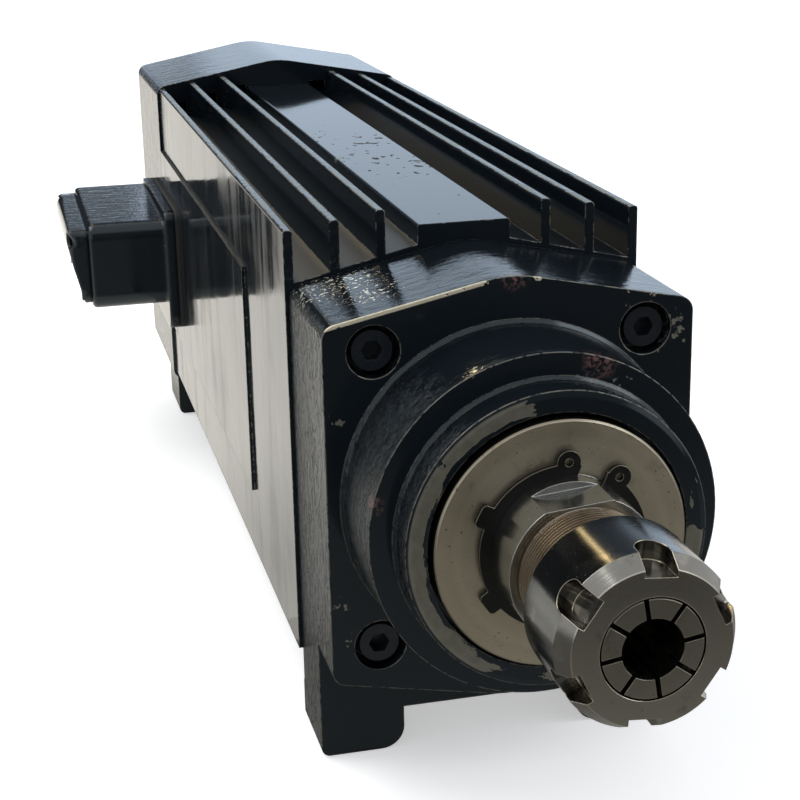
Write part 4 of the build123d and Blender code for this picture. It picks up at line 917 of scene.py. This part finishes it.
def plain_finish(name, dark, light, rough, metallic=0.0):
    """A cast, moulded or rolled finish: a mottled tone with a fine even texture."""
    material, tree, place, shader = new_material(name)
    fine = noise(tree, place, *FINE_NOISE)
    cloud = noise(tree, place, *CLOUD_NOISE)
    soft_edge = add(tree, "Bevel", {"Radius": SMALL_EDGE}, samples=SMALL_SAMPLES).outputs[0]
    wire(tree, shader, Base_Color=mix(tree, cloud, dark, light), Metallic=metallic,
         Roughness=plus(tree, times(tree, fine, MOULD_SPREAD), rough),
         Normal=bump(tree, fine, MOULD_DEPTH, 1.0, soft_edge))
    return material


# Dark and light tone, roughness, share of metal and pieces
PLAIN = {
    "cast_aluminium_rings": ((0.42, 0.42, 0.43), (0.58, 0.58, 0.58), 0.30, 1.0,
                             ["rotor_end_rings"]),
    "black_moulded_plastic": ((0.012, 0.012, 0.013), (0.024, 0.024, 0.026), 0.36, 0.0,
                              ["cooling_fan", "gland_body", "gland_nut"]),
    "ivory_moulded_plastic": ((0.55, 0.51, 0.42), (0.68, 0.64, 0.54), 0.40, 0.0,
                              ["terminal_block"]),
    "soft_brass": ((0.52, 0.34, 0.12), (0.68, 0.47, 0.19), 0.22, 1.0, ["terminal_studs"]),
    "black_rubber_sheet": ((0.010, 0.010, 0.010), (0.020, 0.020, 0.020), 0.62, 0.0,
                           ["box_gasket"]),
    "painted_over_screws": ((0.006, 0.009, 0.014), (0.016, 0.020, 0.026), 0.16, 0.2,
                            ["front_shield_screws"]),
    "black_oxide_screws": ((0.020, 0.021, 0.023), (0.040, 0.041, 0.044), 0.28, 0.8,
                           ["rear_shield_screws", "guard_screws", "box_screws", "lid_screws",
                            "bearing_cover_screws"]),
}
for name, (dark, light, rough, metallic, pieces) in PLAIN.items():
    dress(plain_finish(name, dark, light, rough, metallic), *pieces)
print("plain finishes:", len(PLAIN))

# %% [markdown]
# ## The studio
# Dark gloss and bare steel look like what stands round them, so the studio is built as cards that
# glow: a pale one on the ground that the flat side mirrors, a cool one behind for the top, and
# dim ones in front so that the faces towards the camera stay dark. A dark screen and a narrow
# warm gap beside it shape what the housing and the boss mirror. Cards are seen by glossy rays
# only, so no view shows them and they cast no shadow.

# %% Helpers for the stage
FLOOR_SEEN, FLOOR_GLOW = (0.9, 0.9, 0.9, 1), 0.45
HIDDEN_RAYS = ("camera", "diffuse", "transmission", "volume_scatter", "shadow")


def stage_plane(name, corners):
    """A flat piece with an empty material. Gives the piece and the material's tree."""
    mesh = bpy.data.meshes.new(name)
    mesh.from_pydata(corners, [], [(0, 1, 2, 3)])
    piece = bpy.data.objects.new(name, mesh)
    bpy.context.scene.collection.objects.link(piece)
    material = bpy.data.materials.new(name)
    material.use_nodes = True
    material.node_tree.nodes.clear()
    mesh.materials.append(material)
    return piece, material.node_tree


def flat(x0, x1, y0, y1, z):
    return [(x0, y0, z), (x1, y0, z), (x1, y1, z), (x0, y1, z)]


def standing(x0, x1, y, z0, z1):
    return [(x0, y, z0), (x1, y, z0), (x1, y, z1), (x0, y, z1)]


def card(name, corners, colour, fade=None):
    """A glowing card that only reflections see. fade is (axis, place of the dim end, place of the
    bright end, share of the light at the dim end)."""
    piece, tree = stage_plane(name, corners)
    strength = 1.0
    if fade:
        axis, dim, bright, least = fade
        place = split(tree, add(tree, "TexCoord").outputs["Object"])[axis]
        strength = ease(tree, place, dim, bright, least, 1.0)
    light = add(tree, "Emission", {"Color": (*colour, 1), "Strength": strength}).outputs[0]
    add(tree, "OutputMaterial", {0: light})
    for ray in HIDDEN_RAYS:
        setattr(piece, "visible_" + ray, False)


def floor(name, corners, colour):
    """A matte floor of this colour to the light, which the camera sees as almost white."""
    piece, tree = stage_plane(name, corners)
    base = add(tree, "BsdfDiffuse", {"Color": (*colour, 1)}).outputs[0]
    pale = add(tree, "BsdfDiffuse", {"Color": FLOOR_SEEN}).outputs[0]
    glow = add(tree, "Emission", {"Color": (1, 1, 1, 1), "Strength": FLOOR_GLOW}).outputs[0]
    seen = add(tree, "LightPath").outputs["Is Camera Ray"]
    both = add(tree, "AddShader", {0: pale, 1: glow}).outputs[0]
    output = add(tree, "MixShader", {0: seen, 1: base, 2: both}).outputs[0]
    add(tree, "OutputMaterial", {0: output})


print("stage helpers ready")

# %% Floor and cards
Y, Z = 1, 2                     # axes that a card's light fades along
floor("floor", flat(-4, 4, -4, 4, -0.0002), (0.80, 0.755, 0.69))
card("front_card", flat(-1.2, 1.2, -2.4, -0.12, 0.0008), (0.27, 0.262, 0.24),
     fade=(Y, -0.66, -0.44, 0.28))
card("left_card", flat(-1.5, -0.068, -0.10, 2.4, 0.0006), (1.12, 1.08, 0.99),
     fade=(Y, -0.06, 0.14, 0.70))
card("dim_wall", standing(-1.6, 1.6, -2.4, 0, 2.2), (0.17, 0.17, 0.165))
card("cool_card", standing(-3, 3, 2.4, 0.05, 3.2), (0.82, 0.98, 1.17), fade=(Z, 1.5, 1.1, 0.16))
card("dark_screen", standing(-3.2, -0.19, 1.5, 0.03, 2.6), (0.035, 0.036, 0.036))
card("lit_gap", standing(-0.19, -0.10, 1.5, 0.9, 2.4), (7.0, 5.2, 2.6))
card("box_shade", standing(-0.60, 0.13, 2.39, 0.49, 1.3), (0.26, 0.30, 0.35))

# %% [markdown]
# ## Soft light
# The world lights the part evenly from all round, and shows as white. Two large lamps, one for
# each side, give the shapes a soft direction.

# %% World and lamps
SKY, SKY_STRENGTH = (0.93, 0.96, 1.0, 1), 0.75
world = bpy.data.worlds.new("soft_light")
bpy.context.scene.world = world
world.use_nodes = True
sky_tree = world.node_tree
sky_tree.nodes.clear()
rays = add(sky_tree, "LightPath").outputs
shown = larger(sky_tree, rays["Is Camera Ray"], rays["Is Transmission Ray"])
shown = larger(sky_tree, shown, rays["Is Glossy Ray"])
lit = add(sky_tree, "Background", {"Color": SKY, "Strength": SKY_STRENGTH}).outputs[0]
white = add(sky_tree, "Background", {"Color": (1, 1, 1, 1), "Strength": 1.0}).outputs[0]
both = add(sky_tree, "MixShader", {0: shown, 1: lit, 2: white}).outputs[0]
add(sky_tree, "OutputWorld", {0: both})
bpy.context.scene.view_settings.view_transform = "Standard"


def soft_lamp(name, at, size, power, colour):
    """A square lamp of this size that looks at the shaft."""
    lamp = bpy.data.lights.new(name, "AREA")
    lamp.shape = "RECTANGLE"
    lamp.size, lamp.size_y = size, size
    lamp.energy = power
    lamp.color = colour
    piece = bpy.data.objects.new(name, lamp)
    bpy.context.scene.collection.objects.link(piece)
    piece.location = at
    aim = Vector((0, 0, SHAFT_Z)) - Vector(at)
    piece.rotation_euler = aim.to_track_quat("-Z", "Y").to_euler()


soft_lamp("window", at=(-0.9, 0.5, 1.5), size=1.2, power=16, colour=(1.0, 0.98, 0.95))
soft_lamp("fill", at=(1.3, -0.6, 1.2), size=0.8, power=5, colour=(0.95, 0.97, 1.0))
print("lamps:", len(bpy.data.lights))
